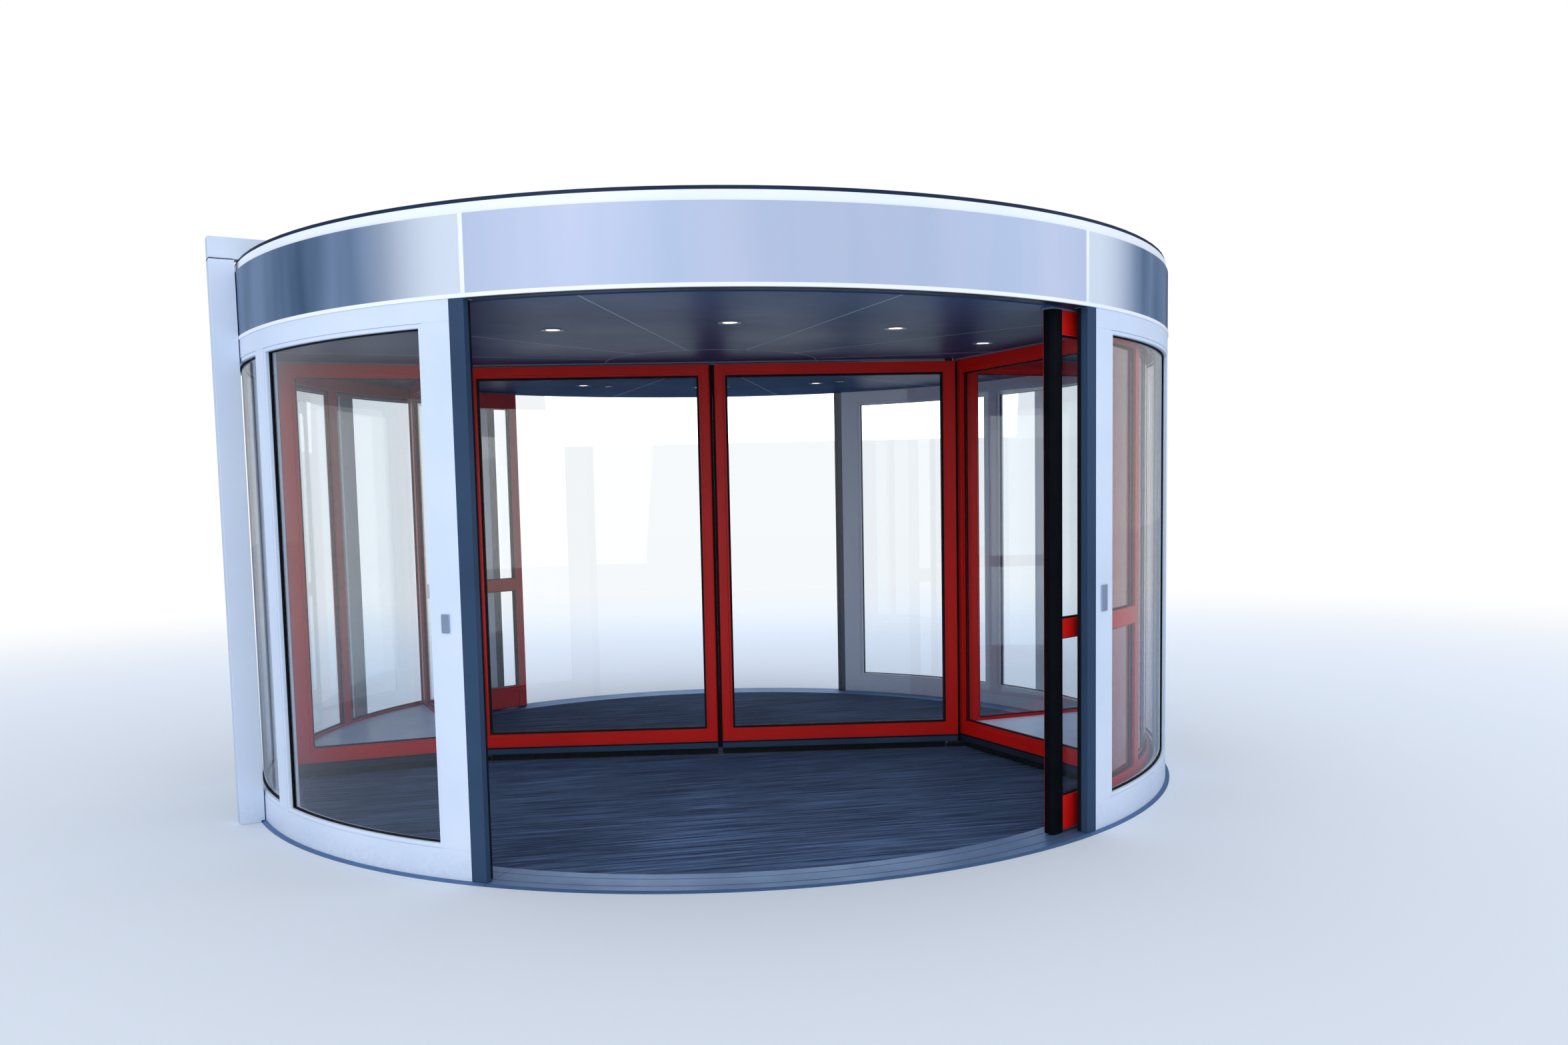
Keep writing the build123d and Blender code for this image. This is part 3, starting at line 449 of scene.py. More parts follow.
mullion_angle = np.degrees(mullion_width / drum_radius)
frame_half_angle = wall_half_angle - np.degrees(post_width / drum_radius)
glazed_half_angle = frame_half_angle - np.degrees(stile_width / drum_radius)
pane_angle = (2 * glazed_half_angle - (pane_count - 1) * mullion_angle) / pane_count
bead_out = bar(bead_gap, bead_reach, glass_outer + bead_off_glass, drum_radius - bead_back, bead_round)
bead_in = bar(bead_gap, bead_reach, wall_inner + bead_back, glass_inner - bead_off_glass, bead_round)
gasket_out = bar(gasket_gap, gasket_reach, glass_outer + glass_gap, glass_outer + gasket_thickness, gasket_round)
gasket_in = bar(gasket_gap, gasket_reach, glass_inner - gasket_thickness, glass_inner - glass_gap, gasket_round)
# EPDM rubber: near black, dull, with a slight bloom of grey
gasket_rubber = mottled("extruded_rubber_gasket", (9.0, 9.0, 9.0), 4.0, "#0B0E14", "#181D26", Roughness=0.6,
                        Specular_IOR_Level=0.15)
for side, middle in (("right", 0.0), ("left", 180.0)):
    first = middle - glazed_half_angle
    rounds = [
        round_pane(first + count * (pane_angle + mullion_angle),
                   first + count * (pane_angle + mullion_angle) + pane_angle, pane_low, pane_high)
        for count in range(pane_count)
    ]
    beads = [carried(profile, path) for path in rounds for profile in (bead_out, bead_in)]
    gaskets = [carried(profile, path) for path in rounds for profile in (gasket_out, gasket_in)]
    show(skin(f"{side}_wall_beads", beads, ring=True), white_coat, "drum", "white_coat")
    show(skin(f"{side}_wall_gaskets", gaskets, ring=True), gasket_rubber, "drum", "black_edge")

# Glass: clear laminated safety glass, 12 mm thick, with a faint blue-green body. Light from the lamps passes it,
# as it does the real pane, so that what is behind stays bright.
clear_glass, tree, shader, place = finish(
    "laminated_safety_glass", IOR=1.5, Roughness=0.0, Transmission_Weight=1.0, Base_Color=colour("#FAFDFF"),
    Specular_IOR_Level=0.3)
roll = add(tree, "ShaderNodeTexNoise", {"Vector": place, "Scale": 1.1, "Detail": 1.0})
roll_bump = add(tree, "ShaderNodeBump", {"Height": roll.outputs[0], "Distance": 0.0015, "Strength": 0.25})
tree.links.new(roll_bump.outputs[0], shader.inputs["Normal"])
lit_through = add(tree, "ShaderNodeBsdfTransparent", {"Color": colour("#F3F9FD")})
ray = add(tree, "ShaderNodeLightPath")
pane = add(tree, "ShaderNodeMixShader", {0: ray.outputs["Is Shadow Ray"], 1: shader.outputs[0],
                                         2: lit_through.outputs[0]})
result = [node for node in tree.nodes if node.type == "OUTPUT_MATERIAL"][0]
tree.links.new(pane.outputs[0], result.inputs["Surface"])


def dress(material, *nodes):
    """Gives nodes whose shape stays as it is a material in place of their own."""
    for node in nodes:
        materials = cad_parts[node].data.materials
        materials.clear()
        materials.append(material)


dress(clear_glass, "right_wall_glass", "left_wall_glass", "right_wing_glass", "left_wing_glass",
      "right_leaf_glass", "left_leaf_glass")

# Opening posts: slate blue coated aluminium posts that close the ends of the walls. Each has a narrow black pile
# seal in the rebate behind it, along the opening, where the turning edges pass close by.
seal_inner = 2.346
seal_outer = 2.3677
seal_low = 0.010
seal_inset = 0.15
seal_width = 0.018
seal_head_gap = 0.001
seal_round = 0.003

dark_coat = powder_coat("powder_coated_aluminium_slate_blue", "#334B69", "#2C425E", gloss=0.45, shine=0.2)
softened("opening_posts", dark_coat, "drum", "dark_coat")
seal_turn = np.degrees(seal_width / drum_radius)
seal_middle = wall_half_angle - seal_inset - seal_turn / 2
seal_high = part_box("opening_posts")[1].z - seal_head_gap
post_seals = [
    carried(bar(seal_inner, seal_outer, seal_low, seal_high, seal_round),
            about_axis(middle + way * seal_middle - seal_turn / 2, middle + way * seal_middle + seal_turn / 2))
    for middle in (0.0, 180.0) for way in (-1, 1)
]
show(skin("post_seals", post_seals), gasket_rubber, "drum", "black_edge")

# Switch plates: two small plates of stainless steel with rounded edges, screwed to the street stiles. They are
# brushed upright, so that their shine is drawn out into fine soft lines.
plate_steel = mottled("brushed_stainless_steel", (400.0, 400.0, 9.0), 2.0, "#B7C7E2", "#CBD8EE", gloss=(0.3, 0.5),
                      Metallic=0.7)
softened("switch_plates", plate_steel, "drum", "plate_steel", width=0.002)

# Canopy trim and lip: white coated aluminium angles rolled to the drum's curve. The trim lies on the walls' heads
# and stands a little proud of them, and the lip caps the metal sheets.
bright_coat = powder_coat("powder_coated_aluminium_bright_white", "#F8FBFF", "#EFF5FF", gloss=0.34)
for node in ("canopy_trim", "canopy_lip"):
    softened(node, bright_coat, "drum", "white_coat", width=0.002)

# Soffits: a thin anthracite strip under the trim over each opening, which is painted shade: the trim's underside
# lies in shade, and the strip makes it show as a dark line.
soffit_inner = 2.336
soffit_outer = 2.397
soffit_thickness = 0.0012
soffit_lap = 0.001
soffit_round = 0.0004
soffit_end_gap = 0.1

foot_coat = powder_coat("powder_coated_aluminium_anthracite", "#232F44", "#1C273A", gloss=0.5, shine=0.2)
trim_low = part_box("canopy_trim")[0].z
soffit_half_angle = opening_half_angle - soffit_end_gap
# The strip is painted shade: a dark sheet on the trim's underside, which lies in shade
soffit_bar = bar(soffit_inner, soffit_outer, trim_low - soffit_thickness, trim_low + soffit_lap, soffit_round)
soffit_shade_strips = [carried(soffit_bar, about_axis(middle - soffit_half_angle, middle + soffit_half_angle))
           for middle in (90.0, 270.0)]
show(skin("opening_soffit_shade", soffit_shade_strips), foot_coat, "drum", "dark_coat")

# Fascia: four satin anodised sheets bent about the canopy, with open joints above the walls' ends that a pale
# strip covers. Their colour is painted reflection: upright bands, a little lighter or darker, on all sheets; the
# two sheets over the walls are painted darker towards their middles and nearly white towards their joints with the
# street sheets.
cover_half_width = 0.009
cover_proud = 0.0009
cover_back = 0.004
cover_end_gap = 0.0005
cover_round = 0.0006

fascia_metal, tree, shader, place = finish("satin_anodised_aluminium", Metallic=0.35, Anisotropic=0.3)
axes = add(tree, "ShaderNodeSeparateXYZ", {0: place})
bearing = add(tree, "ShaderNodeMath", {0: axes.outputs["Y"], 1: axes.outputs["X"]}, operation="ARCTAN2")
unrolled = add(tree, "ShaderNodeCombineXYZ", {"X": bearing.outputs[0], "Y": axes.outputs["Z"]})
# Painted reflection: upright bands a little lighter or darker, fixed to the sheets
reflection_bands_place = add(tree, "ShaderNodeMapping", {"Vector": unrolled.outputs[0], "Scale": (5.5, 0.3, 1.0)})
painted_reflection_bands = add(tree, "ShaderNodeTexNoise", {"Vector": reflection_bands_place.outputs[0], "Scale": 1.0, "Detail": 3.0,
                                         "Roughness": 0.55})
reflection_band_span = add(tree, "ShaderNodeMapRange", {"Value": painted_reflection_bands.outputs[0], "From Min": 0.32, "From Max": 0.68})
facing = add(tree, "ShaderNodeMath", {0: bearing.outputs[0]}, operation="SINE")
to_street = add(tree, "ShaderNodeMath", {0: facing.outputs[0]}, operation="ABSOLUTE")
front_sheet = add(tree, "ShaderNodeMath", {0: to_street.outputs[0], 1: np.sin(np.radians(wall_half_angle))},
                  operation="GREATER_THAN")
# Painted reflection on the sheets over the walls: a dark banded blue
side_painted_reflection = add(tree, "ShaderNodeMix", {0: reflection_band_span.outputs[0], 6: colour("#3C5A79"), 7: colour("#859CBE")},
                data_type="RGBA")
# Painted reflection: the sheets over the walls turn nearly white towards their joints with the street sheets
pale_reflection_near_joint = add(tree, "ShaderNodeMapRange", {"Value": to_street.outputs[0], "From Min": 0.72,
                                                 "From Max": 0.84}, interpolation_type="SMOOTHSTEP")
side_sheet_painted_reflection = add(tree, "ShaderNodeMix", {0: pale_reflection_near_joint.outputs[0], 6: side_painted_reflection.outputs[2],
                                        7: colour("#EAF2FF")}, data_type="RGBA")
# Painted reflection on the street sheets: a pale banded blue
front_sheet_painted_reflection = add(tree, "ShaderNodeMix", {0: reflection_band_span.outputs[0], 6: colour("#C3D3EE"), 7: colour("#D6DCF4")},
                 data_type="RGBA")
painted_reflection_tone = add(tree, "ShaderNodeMix", {0: front_sheet.outputs[0], 6: side_sheet_painted_reflection.outputs[2],
                                         7: front_sheet_painted_reflection.outputs[2]}, data_type="RGBA")
grain_place = add(tree, "ShaderNodeMapping", {"Vector": unrolled.outputs[0], "Scale": (900.0, 3.0, 1.0)})
grain = add(tree, "ShaderNodeTexNoise", {"Vector": grain_place.outputs[0], "Scale": 1.0, "Detail": 2.0})
fascia_gloss = add(tree, "ShaderNodeMapRange", {"Value": grain.outputs[0], "To Min": 0.4, "To Max": 0.56})
grain_bump = add(tree, "ShaderNodeBump", {"Height": grain.outputs[0], "Distance": 0.0005, "Strength": 0.12})
tree.links.new(painted_reflection_tone.outputs[2], shader.inputs["Base Color"])
tree.links.new(fascia_gloss.outputs[0], shader.inputs["Roughness"])
tree.links.new(grain_bump.outputs[0], shader.inputs["Normal"])
softened("fascia_sheets", fascia_metal, "drum", "satin_sheet", width=0.001)
sheet_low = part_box("fascia_sheets")[0].z
sheet_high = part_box("fascia_sheets")[1].z
cover_bar = bar(drum_radius - cover_back, drum_radius + cover_proud, sheet_low + cover_end_gap,
                sheet_high - cover_end_gap, cover_round)
cover_reach = np.degrees(cover_half_width / drum_radius)
covers = [
    carried(cover_bar, about_axis(middle + way * wall_half_angle - cover_reach,
                                  middle + way * wall_half_angle + cover_reach))
    for middle in (0.0, 180.0) for way in (-1, 1)
]
show(skin("joint_covers", covers), bright_coat, "drum", "white_coat")

# Roof: a deck of dark coated sheets laid side by side along the head beam. Their edges are folded into low welts,
# and a flat flashing runs round the rim, which shows from the street as a thin line over the lip.
facade_angle = 18.5
deck_radius = 2.386
flashing_width = 0.055
flashing_rise = 0.003
flashing_set_back = 0.0005
flashing_round = 0.001
roof_lap = 0.001
welt_count = 8
welt_pitch = 0.6
welt_half_width = 0.009
welt_rise = 0.009
welt_round = 0.003
welt_end_gap = 0.004

roof_coat = powder_coat("coated_steel_roof_sheet", "#1F3252", "#182842", gloss=0.5, shine=0.2)
softened("roof_deck", roof_coat, "drum", "roof_sheet", width=0.002)


def polar(radius, angle):
    """The plan point at a radius and an angle in degrees."""
    return radius * np.array((np.cos(np.radians(angle)), np.sin(np.radians(angle))))


def along_line(start, way, aside, near, far):
    """The straight path along a line in plan from near to far, moved to its left by aside: each side is the line's
    left and each up is vertical."""
    left = np.array((-way[1], way[0], 0.0))
    reach = np.array((near, far))[:, None]
    ends = np.append(start, 0.0) + aside * left + reach * np.append(way, 0.0)
    return ends, np.repeat(left[None], 2, 0), np.repeat(((0.0, 0.0, 1.0),), 2, 0)


deck_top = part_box("roof_deck")[1].z
flashing_inner = deck_radius - flashing_width
flashing = bar(flashing_inner, deck_radius - flashing_set_back, deck_top - roof_lap, deck_top + flashing_rise,
               flashing_round)
show(skin("roof_flashing", [carried(flashing, about_axis(0, 360, facet=3, shut=False))], ring=True), roof_coat,
     "drum", "roof_sheet")
welt_bar = bar(-welt_half_width, welt_half_width, deck_top - roof_lap, deck_top + welt_rise, welt_round)
welts = []
for aside in welt_pitch * (np.arange(welt_count) - (welt_count - 1) / 2):
    reach = np.sqrt((flashing_inner - welt_end_gap) ** 2 - (abs(aside) + welt_half_width) ** 2)
    welts.append(carried(welt_bar, along_line((0, 0), polar(1, facade_angle), aside, -reach, reach)))
show(skin("roof_welts", welts), roof_coat, "drum", "roof_sheet")

# Ring beam of the canopy and the rotor's carrier: a mill finish aluminium channel behind the sheets, with the ledge
# that the carrier hangs on. Both are a cloudy half bright grey, and show only from inside the canopy.
mill_metal = mottled("mill_finish_aluminium", (6.0, 6.0, 6.0), 5.0, "#8A9099", "#A4AAB3", gloss=(0.35, 0.6),
                     Metallic=0.85)
dress(mill_metal, "running_track", "ceiling_carrier")

# Joining posts and head beam: white coated box sections that close the gap between drum and facade, with a black
# strip where the beam lies on the posts, which is painted shade for the shadow gap of that joint.
jamb_half_depth = 0.045
jamb_inner = 2.406
jamb_outer = 2.510
joint_height = 0.004
joint_proud = 0.0006
joint_round = 0.0003

for node in ("right_jamb", "left_jamb", "head_beam"):
    softened(node, white_coat, "drum", "white_coat", width=0.002)
joint_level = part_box("head_beam")[0].z
# A black strip as painted shade in the joint under the beam
joint_bar = bar(-jamb_half_depth - joint_proud, jamb_half_depth + joint_proud, joint_level - joint_height,
                joint_level, joint_round, steps=1)
joints = [carried(joint_bar, along_line((0, 0), polar(way, facade_angle), 0, jamb_inner, jamb_outer + joint_proud))
          for way in (-1, 1)]
show(skin("post_head_joint_shade", joints), gasket_rubber, "drum", "black_edge")

# Ceiling of the rotor: a round disc and twelve sectors of slate grey coated sheet, held up by pale joint strips
# that cover the joints from below.
seam_width = 0.008
seam_low = -0.001
seam_thickness = 0.002
seam_round = 0.0004
seam_end_gap = 0.001
disc_radius = 0.576
rotor_radius = 2.320
sector_count = 12
sector_angle = 360 / sector_count
rest_angle = -9.1
sector_offset = 11.7

ceiling_coat = powder_coat("powder_coated_sheet_slate_grey", "#2C4F7A", "#26466D", gloss=0.42, shine=0.06)
strip_coat = powder_coat("powder_coated_joint_strip", "#93A3BE", "#8697B3", gloss=0.45, shine=0.2)
softened("ceiling_panels", ceiling_coat, "rotor", "ceiling_coat", width=0.0008)
ceiling_turn = rest_angle - sector_offset
ceiling_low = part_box("ceiling_panels")[0].z
seam_bottom = ceiling_low + seam_low
seam_bar = bar(-seam_width / 2, seam_width / 2, seam_bottom, seam_bottom + seam_thickness, seam_round, steps=1)
seams = [carried(seam_bar, along_line((0, 0), polar(1, ceiling_turn + sector_angle * n), 0, disc_radius + seam_width,
                                      rotor_radius - seam_end_gap)) for n in range(sector_count)]
show(skin("ceiling_seams", seams), strip_coat, "rotor", "satin_sheet")
disc_seam = bar(disc_radius - seam_width / 2, disc_radius + seam_width / 2, seam_bottom,
                seam_bottom + seam_thickness, seam_round, steps=1)
show(skin("ceiling_ring_seam", [carried(disc_seam, about_axis(0, 360, facet=3, shut=False))], ring=True),
     strip_coat, "rotor", "satin_sheet")

# Recessed lamps: ten, one in the middle of each sector of the ceiling except the first and the seventh. Each is a
# spun aluminium rim, enamelled grey, that clips into the sheet round a frosted glass, lit warm.
lamp_circle = 1.526
rim_radius = 0.052
rim_drop = 0.003
rim_round = 0.002
throat_flare = 0.004
throat_edge = 0.001
throat_height = 0.006
can_wall = 0.012
lens_radius = 0.034
lens_middle = 0.0005
lens_bulge = 0.001
lens_back = 0.004

lamp_turns = [ceiling_turn + sector_angle * (n + 0.5) for n in range(sector_count) if n % (sector_count // 2)]
# The rim's profile, by radius and height under the ceiling: out over the lip, and up inside to the glass
rim_profile = np.array((
    (rim_radius, 0.0), (rim_radius, -rim_drop * 0.4), (rim_radius - rim_round, -rim_drop),
    (lens_radius + throat_flare, -rim_drop), (lens_radius + throat_edge, -rim_drop * 0.5),
    (lens_radius, throat_height), (rim_radius - can_wall, throat_height), (rim_radius - can_wall, 0.0),
))
lens_edge = lens_radius - glass_gap
lens_profile = np.array((
    (lens_middle, -lens_bulge), (lens_radius * 0.6, -lens_bulge / 2), (lens_edge, lens_bulge),
    (lens_edge, lens_back), (lens_middle, lens_back),
))
origins, sides, ups = about_axis(0, 360, facet=10, shut=False)
lamp_rings = [(origins + np.append(polar(lamp_circle, turn), ceiling_low), sides, ups) for turn in lamp_turns]
rims = [carried(rim_profile, path) for path in lamp_rings]
lenses = [carried(lens_profile, path) for path in lamp_rings]
rim_coat = powder_coat("enamelled_aluminium_rim", "#7C889B", "#6F7B8F", gloss=0.4)
show(skin("lamp_rims", rims, ring=True), rim_coat, "rotor", "white_coat", "lamps")
# Frosted glass, lit from behind: warm white, fading a little to the rim
lamp_glass, tree, shader, place = finish(
    "frosted_lamp_glass", Base_Color=colour("#FFE2BE"), Roughness=0.5, Emission_Strength=3.2)
frost = add(tree, "ShaderNodeTexNoise", {"Vector": place, "Scale": 120.0, "Detail": 2.0})
glow = add(tree, "ShaderNodeMix", {0: frost.outputs[0], 6: colour("#FFDDB0"), 7: colour("#FFF0D8")}, data_type="RGBA")
tree.links.new(glow.outputs[2], shader.inputs["Emission Color"])
show(skin("lamp_lenses", lenses, ring=True), lamp_glass, "rotor", "lamp_glass")

# Head channels: thin channels of dull anodised aluminium, screwed to the ceiling, that the tops of the wings stand
# in. They show as a grey line between the red frames and the ceiling.
channel_coat = powder_coat("dull_anodised_channel", "#7C7F93", "#6E7185", gloss=0.55, shine=0.3)
softened("head_channels", channel_coat, "rotor", "satin_sheet", width=0.001)

# Wings: red coated aluminium frames round the display cases, with the curved rails of the shields and the frames
# of the middle leaves. The stiles and rails are box sections, screwed together behind their faces.
red_coat = powder_coat("powder_coated_aluminium_red", "#DC1611", "#CA100C", gloss=0.38, shine=0.3)
for side in ("right", "left"):
    for part in ("street_leg", "back_leg", "case_front", "shield_rails"):
        softened(f"{side}_{part}", red_coat, "rotor", "red_coat")
    softened(f"{side}_leaf_frame", red_coat, f"{side}_leaf", "red_coat")

# Gaskets of the wings and leaves: black extruded rubber, pressed in along each edge of the panes on both faces. On
# the leaves it laps over the glazing beads, and that black lap is painted shade for the beads' shaded faces.
corner = np.array((1.377, -0.012))
back_corner = np.array((1.377, 0.050))
leg_end_angle = -33.8
back_leg_end_angle = 8.2
shield_end_angle = -51.6
wing_depth = 0.050
corner_overlap = 0.056
leg_stile = 0.080
front_stile = 0.070
leaf_meeting_stile = 0.066
leaf_hinge_stile = 0.074
leaf_start = 0.0125
leaf_edge = 1.350
leaf_head_rail = 0.066
glass_low = 0.166
glass_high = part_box("right_leaf_frame")[1].z - leaf_head_rail
lower_shield_pane = (0.165, 0.840)
upper_shield_pane = (0.920, 2.093)
gasket_width = 0.006
gasket_depth = 0.007
half_glass = 0.006
bead_cover = 0.005
bead_face = 0.019
lap_rise = 0.002
wings = (("right", rest_angle), ("left", rest_angle + 180))


def turned(path, angle):
    """Turns a path about the drum's axis by an angle in degrees: every place, side and up by the same matrix."""
    cosine, sine = polar(1, angle)
    matrix = np.array(((cosine, sine, 0), (-sine, cosine, 0), (0, 0, 1)))
    return tuple(part @ matrix for part in path)


def flat_pane(start, way, aside, near, far, low, high):
    """The path round a flat pane that stands on a line: start is the line's plan point, way its unit direction
    and aside how far the pane lies to its left. Sides point slantwise into the pane, ups along its normal."""
    along = np.append(way, 0.0)
    normal = np.array((-way[1], way[0], 0.0))
    reach = np.array((near, far, far, near))[:, None]
    heights = np.array((low, low, high, high))[:, None]
    inward = np.array((1.0, -1.0, -1.0, 1.0))[:, None]
    rise = np.array((1.0, 1.0, -1.0, -1.0))[:, None]
    upward = np.array((0.0, 0.0, 1.0))
    base = np.append(start, 0.0) + aside * normal
    return base + reach * along + heights * upward, inward * along + rise * upward, np.repeat(normal[None], 4, 0)


def reach_circle(start, way, radius):
    """How far a line runs from its start to a circle about the axis."""
    along = start @ way
    return -along + np.sqrt(along ** 2 - start @ start + radius ** 2)


leg_way = polar(rotor_radius, leg_end_angle) - corner
leg_way /= np.linalg.norm(leg_way)
leg_left = np.array((-leg_way[1], leg_way[0]))
back_way = polar(rotor_radius, back_leg_end_angle) - back_corner
back_way /= np.linalg.norm(back_way)
back_right = np.array((back_way[1], -back_way[0]))
leg_start = corner - corner_overlap * leg_way
inner_circle = rotor_radius - wing_depth
leg_faces = (leg_start, leg_start + wing_depth * leg_left)
back_faces = (back_corner, back_corner + wing_depth * back_right)
leg_far = min(reach_circle(root, leg_way, inner_circle) for root in leg_faces) - leg_stile
back_far = min(reach_circle(root, back_way, inner_circle) for root in back_faces) - leg_stile
# The back leg starts where its two faces meet the street leg's inner face: the cross products of the lines
back_near = max(np.cross(leg_faces[1] - root, leg_way) / np.cross(back_way, leg_way)
                for root in back_faces) + leg_stile
case_middle = (leg_end_angle + back_leg_end_angle) / 2
front_stile_angle = np.degrees(front_stile / rotor_radius)
round_panes = (
    (leg_end_angle + front_stile_angle, case_middle - front_stile_angle / 2, glass_low, glass_high),
    (case_middle + front_stile_angle / 2, back_leg_end_angle - front_stile_angle, glass_low, glass_high),
    (shield_end_angle, leg_end_angle, *lower_shield_pane),
    (shield_end_angle, leg_end_angle, *upper_shield_pane),
)
gasket_front = bar(0.0, gasket_width, half_glass + glass_gap, half_glass + gasket_depth, gasket_round)
gasket_back = gasket_front * (1, -1)
# The black lap over each bead is painted shade, for the bead's face in shadow
# The gaskets of the leaves lap over the beads: inward distance and distance from the pane's middle
lapped_front = np.array((
    (-bead_cover, bead_face + glass_gap), (-bead_cover, bead_face + lap_rise / 2),
    (-bead_cover + lap_rise / 2, bead_face + lap_rise), (gasket_width - lap_rise, bead_face + lap_rise / 2),
    (gasket_width, bead_face - lap_rise), (gasket_width, half_glass + glass_gap),
    (bead_gap, half_glass + glass_gap), (bead_gap, bead_face + glass_gap),
))
lapped_back = lapped_front * (1, -1)
shield_glass_middle = rotor_radius - wing_depth / 2
for side, turn in wings:
    flat_paths = (
        flat_pane(leg_start, leg_way, wing_depth / 2, leg_stile, leg_far, glass_low, glass_high),
        flat_pane(back_corner, back_way, -wing_depth / 2, back_near, back_far, glass_low, glass_high),
    )
    flat_grids = [carried(profile, turned(path, turn))
                  for path in flat_paths for profile in (gasket_front, gasket_back)]
    round_grids = [carried(profile + (0, shield_glass_middle), turned(round_pane(*pane_place), turn))
                   for pane_place in round_panes for profile in (gasket_front, gasket_back)]
    show(skin(f"{side}_wing_gaskets", flat_grids + round_grids, ring=True), gasket_rubber, "rotor", "black_edge")
    leaf_path = flat_pane((0.0, 0.0), (1.0, 0.0), 0.0, leaf_start + leaf_meeting_stile,
                          leaf_edge - leaf_hinge_stile, glass_low, glass_high)
    leaf_grids = [carried(profile, turned(leaf_path, turn)) for profile in (lapped_front, lapped_back)]
    show(skin(f"{side}_leaf_gaskets", leaf_grids, ring=True), gasket_rubber, f"{side}_leaf", "black_edge")

# Seals of the leaves: a black pile seal slid into a groove of the meeting edge, and one in the hinge edge of each
# leaf. They fill the gaps between the stiles, so that these show as dark lines; the hinge seal is drawn wider than a
# real seal, as painted shade for the gap's shadow.
meeting_seal_reach = 0.01245
# The hinge seal's extra width is painted shade in the shaded gap at the hinge
hinge_seal_and_shade_reach = 0.015
seal_root = 0.0005
seal_half = 0.006
seal_foot = 0.050
seal_head_drop = 0.004
leaf_seal_round = 0.002

seal_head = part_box("right_leaf_frame")[1].z - seal_head_drop
seal_path = (np.array(((0.0, 0.0, seal_foot), (0.0, 0.0, seal_head))), np.array(((1.0, 0.0, 0.0),) * 2),
             np.array(((0.0, 1.0, 0.0),) * 2))
seal_spans = ((leaf_start - meeting_seal_reach, leaf_start + seal_root),
              (leaf_edge - seal_root, leaf_edge + hinge_seal_and_shade_reach))
for side, turn in wings:
    seals = [carried(bar(near, far, -seal_half, seal_half, leaf_seal_round), turned(seal_path, turn))
             for near, far in seal_spans]
    show(skin(f"{side}_leaf_seals", seals), gasket_rubber, f"{side}_leaf", "black_brush")

# Safety edges: moulded black rubber noses along the ends of the shields, from floor to ceiling, dull and slightly
# scuffed. A red coated cover is clipped on the inner face of each and bends round the start of its nose.
edge_width = 0.066
nose_radius = 0.020
nose_wrap = 35
cover_steps = 4
cover_start = 0.02
cover_standoff = 0.0001
cover_thickness = 0.0012
cover_corner = 0.0004
cover_low = 0.024
cover_head_gap = 0.002

edge_rubber = mottled("moulded_rubber_nose", (14.0, 14.0, 14.0), 6.0, "#06080C", "#0E1218", Roughness=0.55,
                      Specular_IOR_Level=0.06)
for side in ("right", "left"):
    softened(f"{side}_edge_post", edge_rubber, "rotor", "black_edge", width=0.001)
# The cover's path goes along the circle of the post's inner face and then about the nose's centre, from the inward
# direction towards the tip; its sides point away from the post
nose_angle = shield_end_angle - np.degrees((edge_width - nose_radius) / rotor_radius)
face_turns = np.radians(np.linspace(shield_end_angle - cover_start, nose_angle, cover_steps)[:-1])
face_sides = -np.stack((np.cos(face_turns), np.sin(face_turns), 0 * face_turns), -1)
radial = np.append(polar(1, nose_angle), 0)
tipward = np.array((radial[1], -radial[0], 0))
wrap = np.radians(np.linspace(0, nose_wrap, cover_steps))[:, None]
nose_sides = np.sin(wrap) * tipward - np.cos(wrap) * radial
nose_places = (inner_circle + nose_radius) * radial + nose_radius * nose_sides
cover_sides = np.concatenate((face_sides, nose_sides))
cover_places = np.concatenate((-inner_circle * face_sides, nose_places))
cover_path = (cover_places, cover_sides, np.zeros_like(cover_sides) + (0.0, 0.0, 1.0))
cover_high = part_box("right_edge_post")[1].z - cover_head_gap
cover_plate = bar(cover_standoff, cover_thickness, cover_low, cover_high, cover_corner, steps=1)
edge_covers = [carried(cover_plate, turned(cover_path, turn)) for _, turn in wings]
show(skin("edge_inner_covers", edge_covers), red_coat, "rotor", "red_coat")

# Foot profiles: coated channels under the red frames, which hold the brushes, anthracite under the wings and slate
# blue under the leaves. A black strip between each frame and its channel is painted shade, for the shadow line there.
strip_low = 0.0795
strip_high = 0.0875
strip_proud = 0.0007
strip_round = 0.0006
strip_end_gap = 0.001

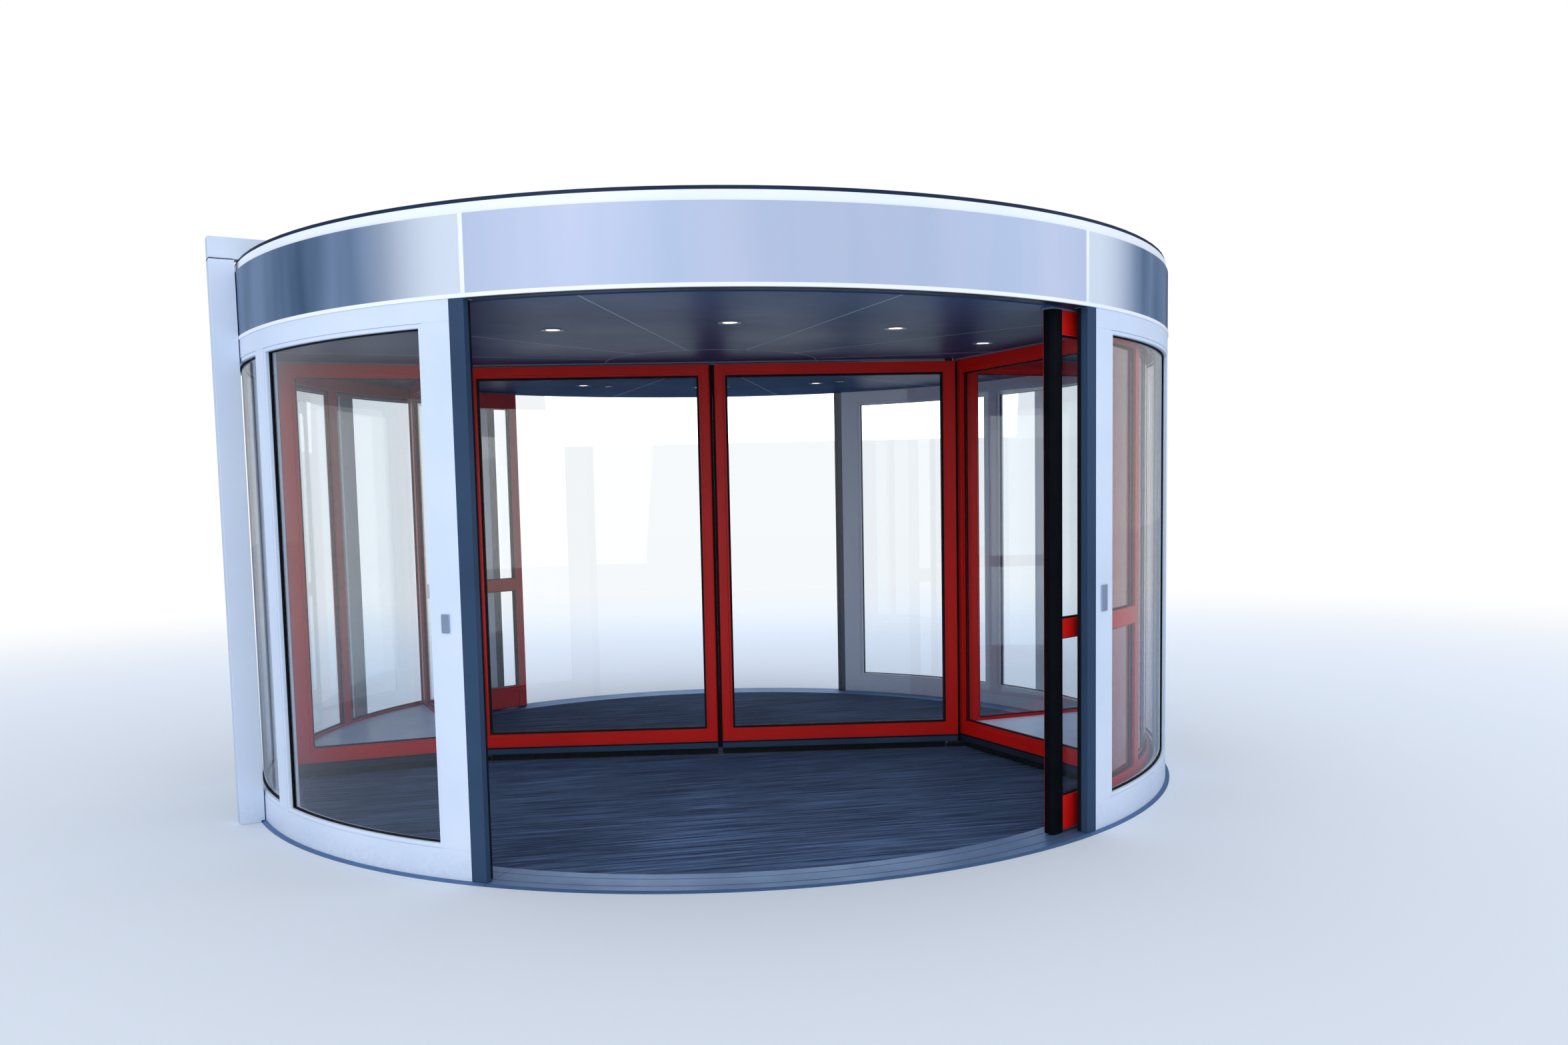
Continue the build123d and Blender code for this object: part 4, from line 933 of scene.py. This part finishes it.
softened("wing_plinths", foot_coat, "rotor", "dark_coat")
softened("leaf_pivots", foot_coat, "rotor", "plain_steel", width=0.001)
for side in ("right", "left"):
    softened(f"{side}_leaf_plinth", dark_coat, f"{side}_leaf", "dark_coat")
strip_reach = wing_depth / 2 + strip_proud
# Black strips as painted shade: the shadow line where each red frame stands on its channel
flat_strip = bar(-strip_reach, strip_reach, strip_low, strip_high, strip_round)
round_strip = flat_strip + (shield_glass_middle, 0.0)
for side, turn in wings:
    straights = (
        along_line(leg_start, leg_way, wing_depth / 2, strip_end_gap, leg_far + leg_stile),
        along_line(back_corner, back_way, -wing_depth / 2, back_near - leg_stile, back_far + leg_stile),
    )
    wing_shade_strips = [carried(flat_strip, turned(path, turn)) for path in straights]
    wing_shade_strips.append(carried(round_strip, turned(about_axis(leg_end_angle, back_leg_end_angle), turn)))
    show(skin(f"{side}_wing_foot_shade_strips", wing_shade_strips), gasket_rubber, "rotor", "black_edge")
    leaf_line = along_line((0.0, 0.0), (1.0, 0.0), 0.0, leaf_start + strip_end_gap / 2,
                           leaf_edge - strip_end_gap / 2)
    show(skin(f"{side}_leaf_foot_shade_strip", [carried(flat_strip, turned(leaf_line, turn))]), gasket_rubber,
         f"{side}_leaf", "black_edge")

# Brushes: strips of black nylon bristle, slid into the foot profiles, which close the gap to the floor. The bristles
# stand in tufts, which give the dull black an upright grain.
tuft_half = 0.009
tuft_low = 0.0142
tuft_high = 0.0352
tuft_round = 0.001
bend = np.array(((1.286, 0.0, 0.0), (1.403, 0.0, 0.0), (1.411, -0.029, 0.0)))

bristle = mottled("nylon_bristle", (160.0, 160.0, 12.0), 2.0, "#07090D", "#1B1F27", bump=(0.004, 0.8),
                  Roughness=0.7, Specular_IOR_Level=0.25)
dress(bristle, "wing_brushes", "right_leaf_brush", "left_leaf_brush")
# A bent strip under each pivot goes on from the leaf's brush to the street leg's: sides are the runs' lefts, and
# their mitre at the bend
runs = np.diff(bend[:, :2], axis=0)
runs /= np.linalg.norm(runs, axis=1)[:, None]
lefts = np.stack((-runs[:, 1], runs[:, 0]), -1)
mitre = lefts.sum(0) / (1 + lefts[0] @ lefts[1])
bend_sides = np.append(np.stack((lefts[0], mitre, lefts[1])), np.zeros((3, 1)), 1)
bend_path = (bend, bend_sides, np.repeat(((0.0, 0.0, 1.0),), 3, 0))
corner_tufts = [carried(bar(-tuft_half, tuft_half, tuft_low, tuft_high, tuft_round), turned(bend_path, turn))
                for _, turn in wings]
show(skin("corner_brushes", corner_tufts), bristle, "rotor", "black_brush")

# Case floors: boards faced with pale laminate that lie between the rails of each display case. Their satin gloss
# is a little uneven with wear.
board = mottled("pale_laminate_board", (7.0, 7.0, 7.0), 6.0, "#C4D9FF", "#B7CCFA", gloss=(0.35, 0.55),
                Specular_IOR_Level=0.45)
dress(board, "right_case_floor", "left_case_floor")
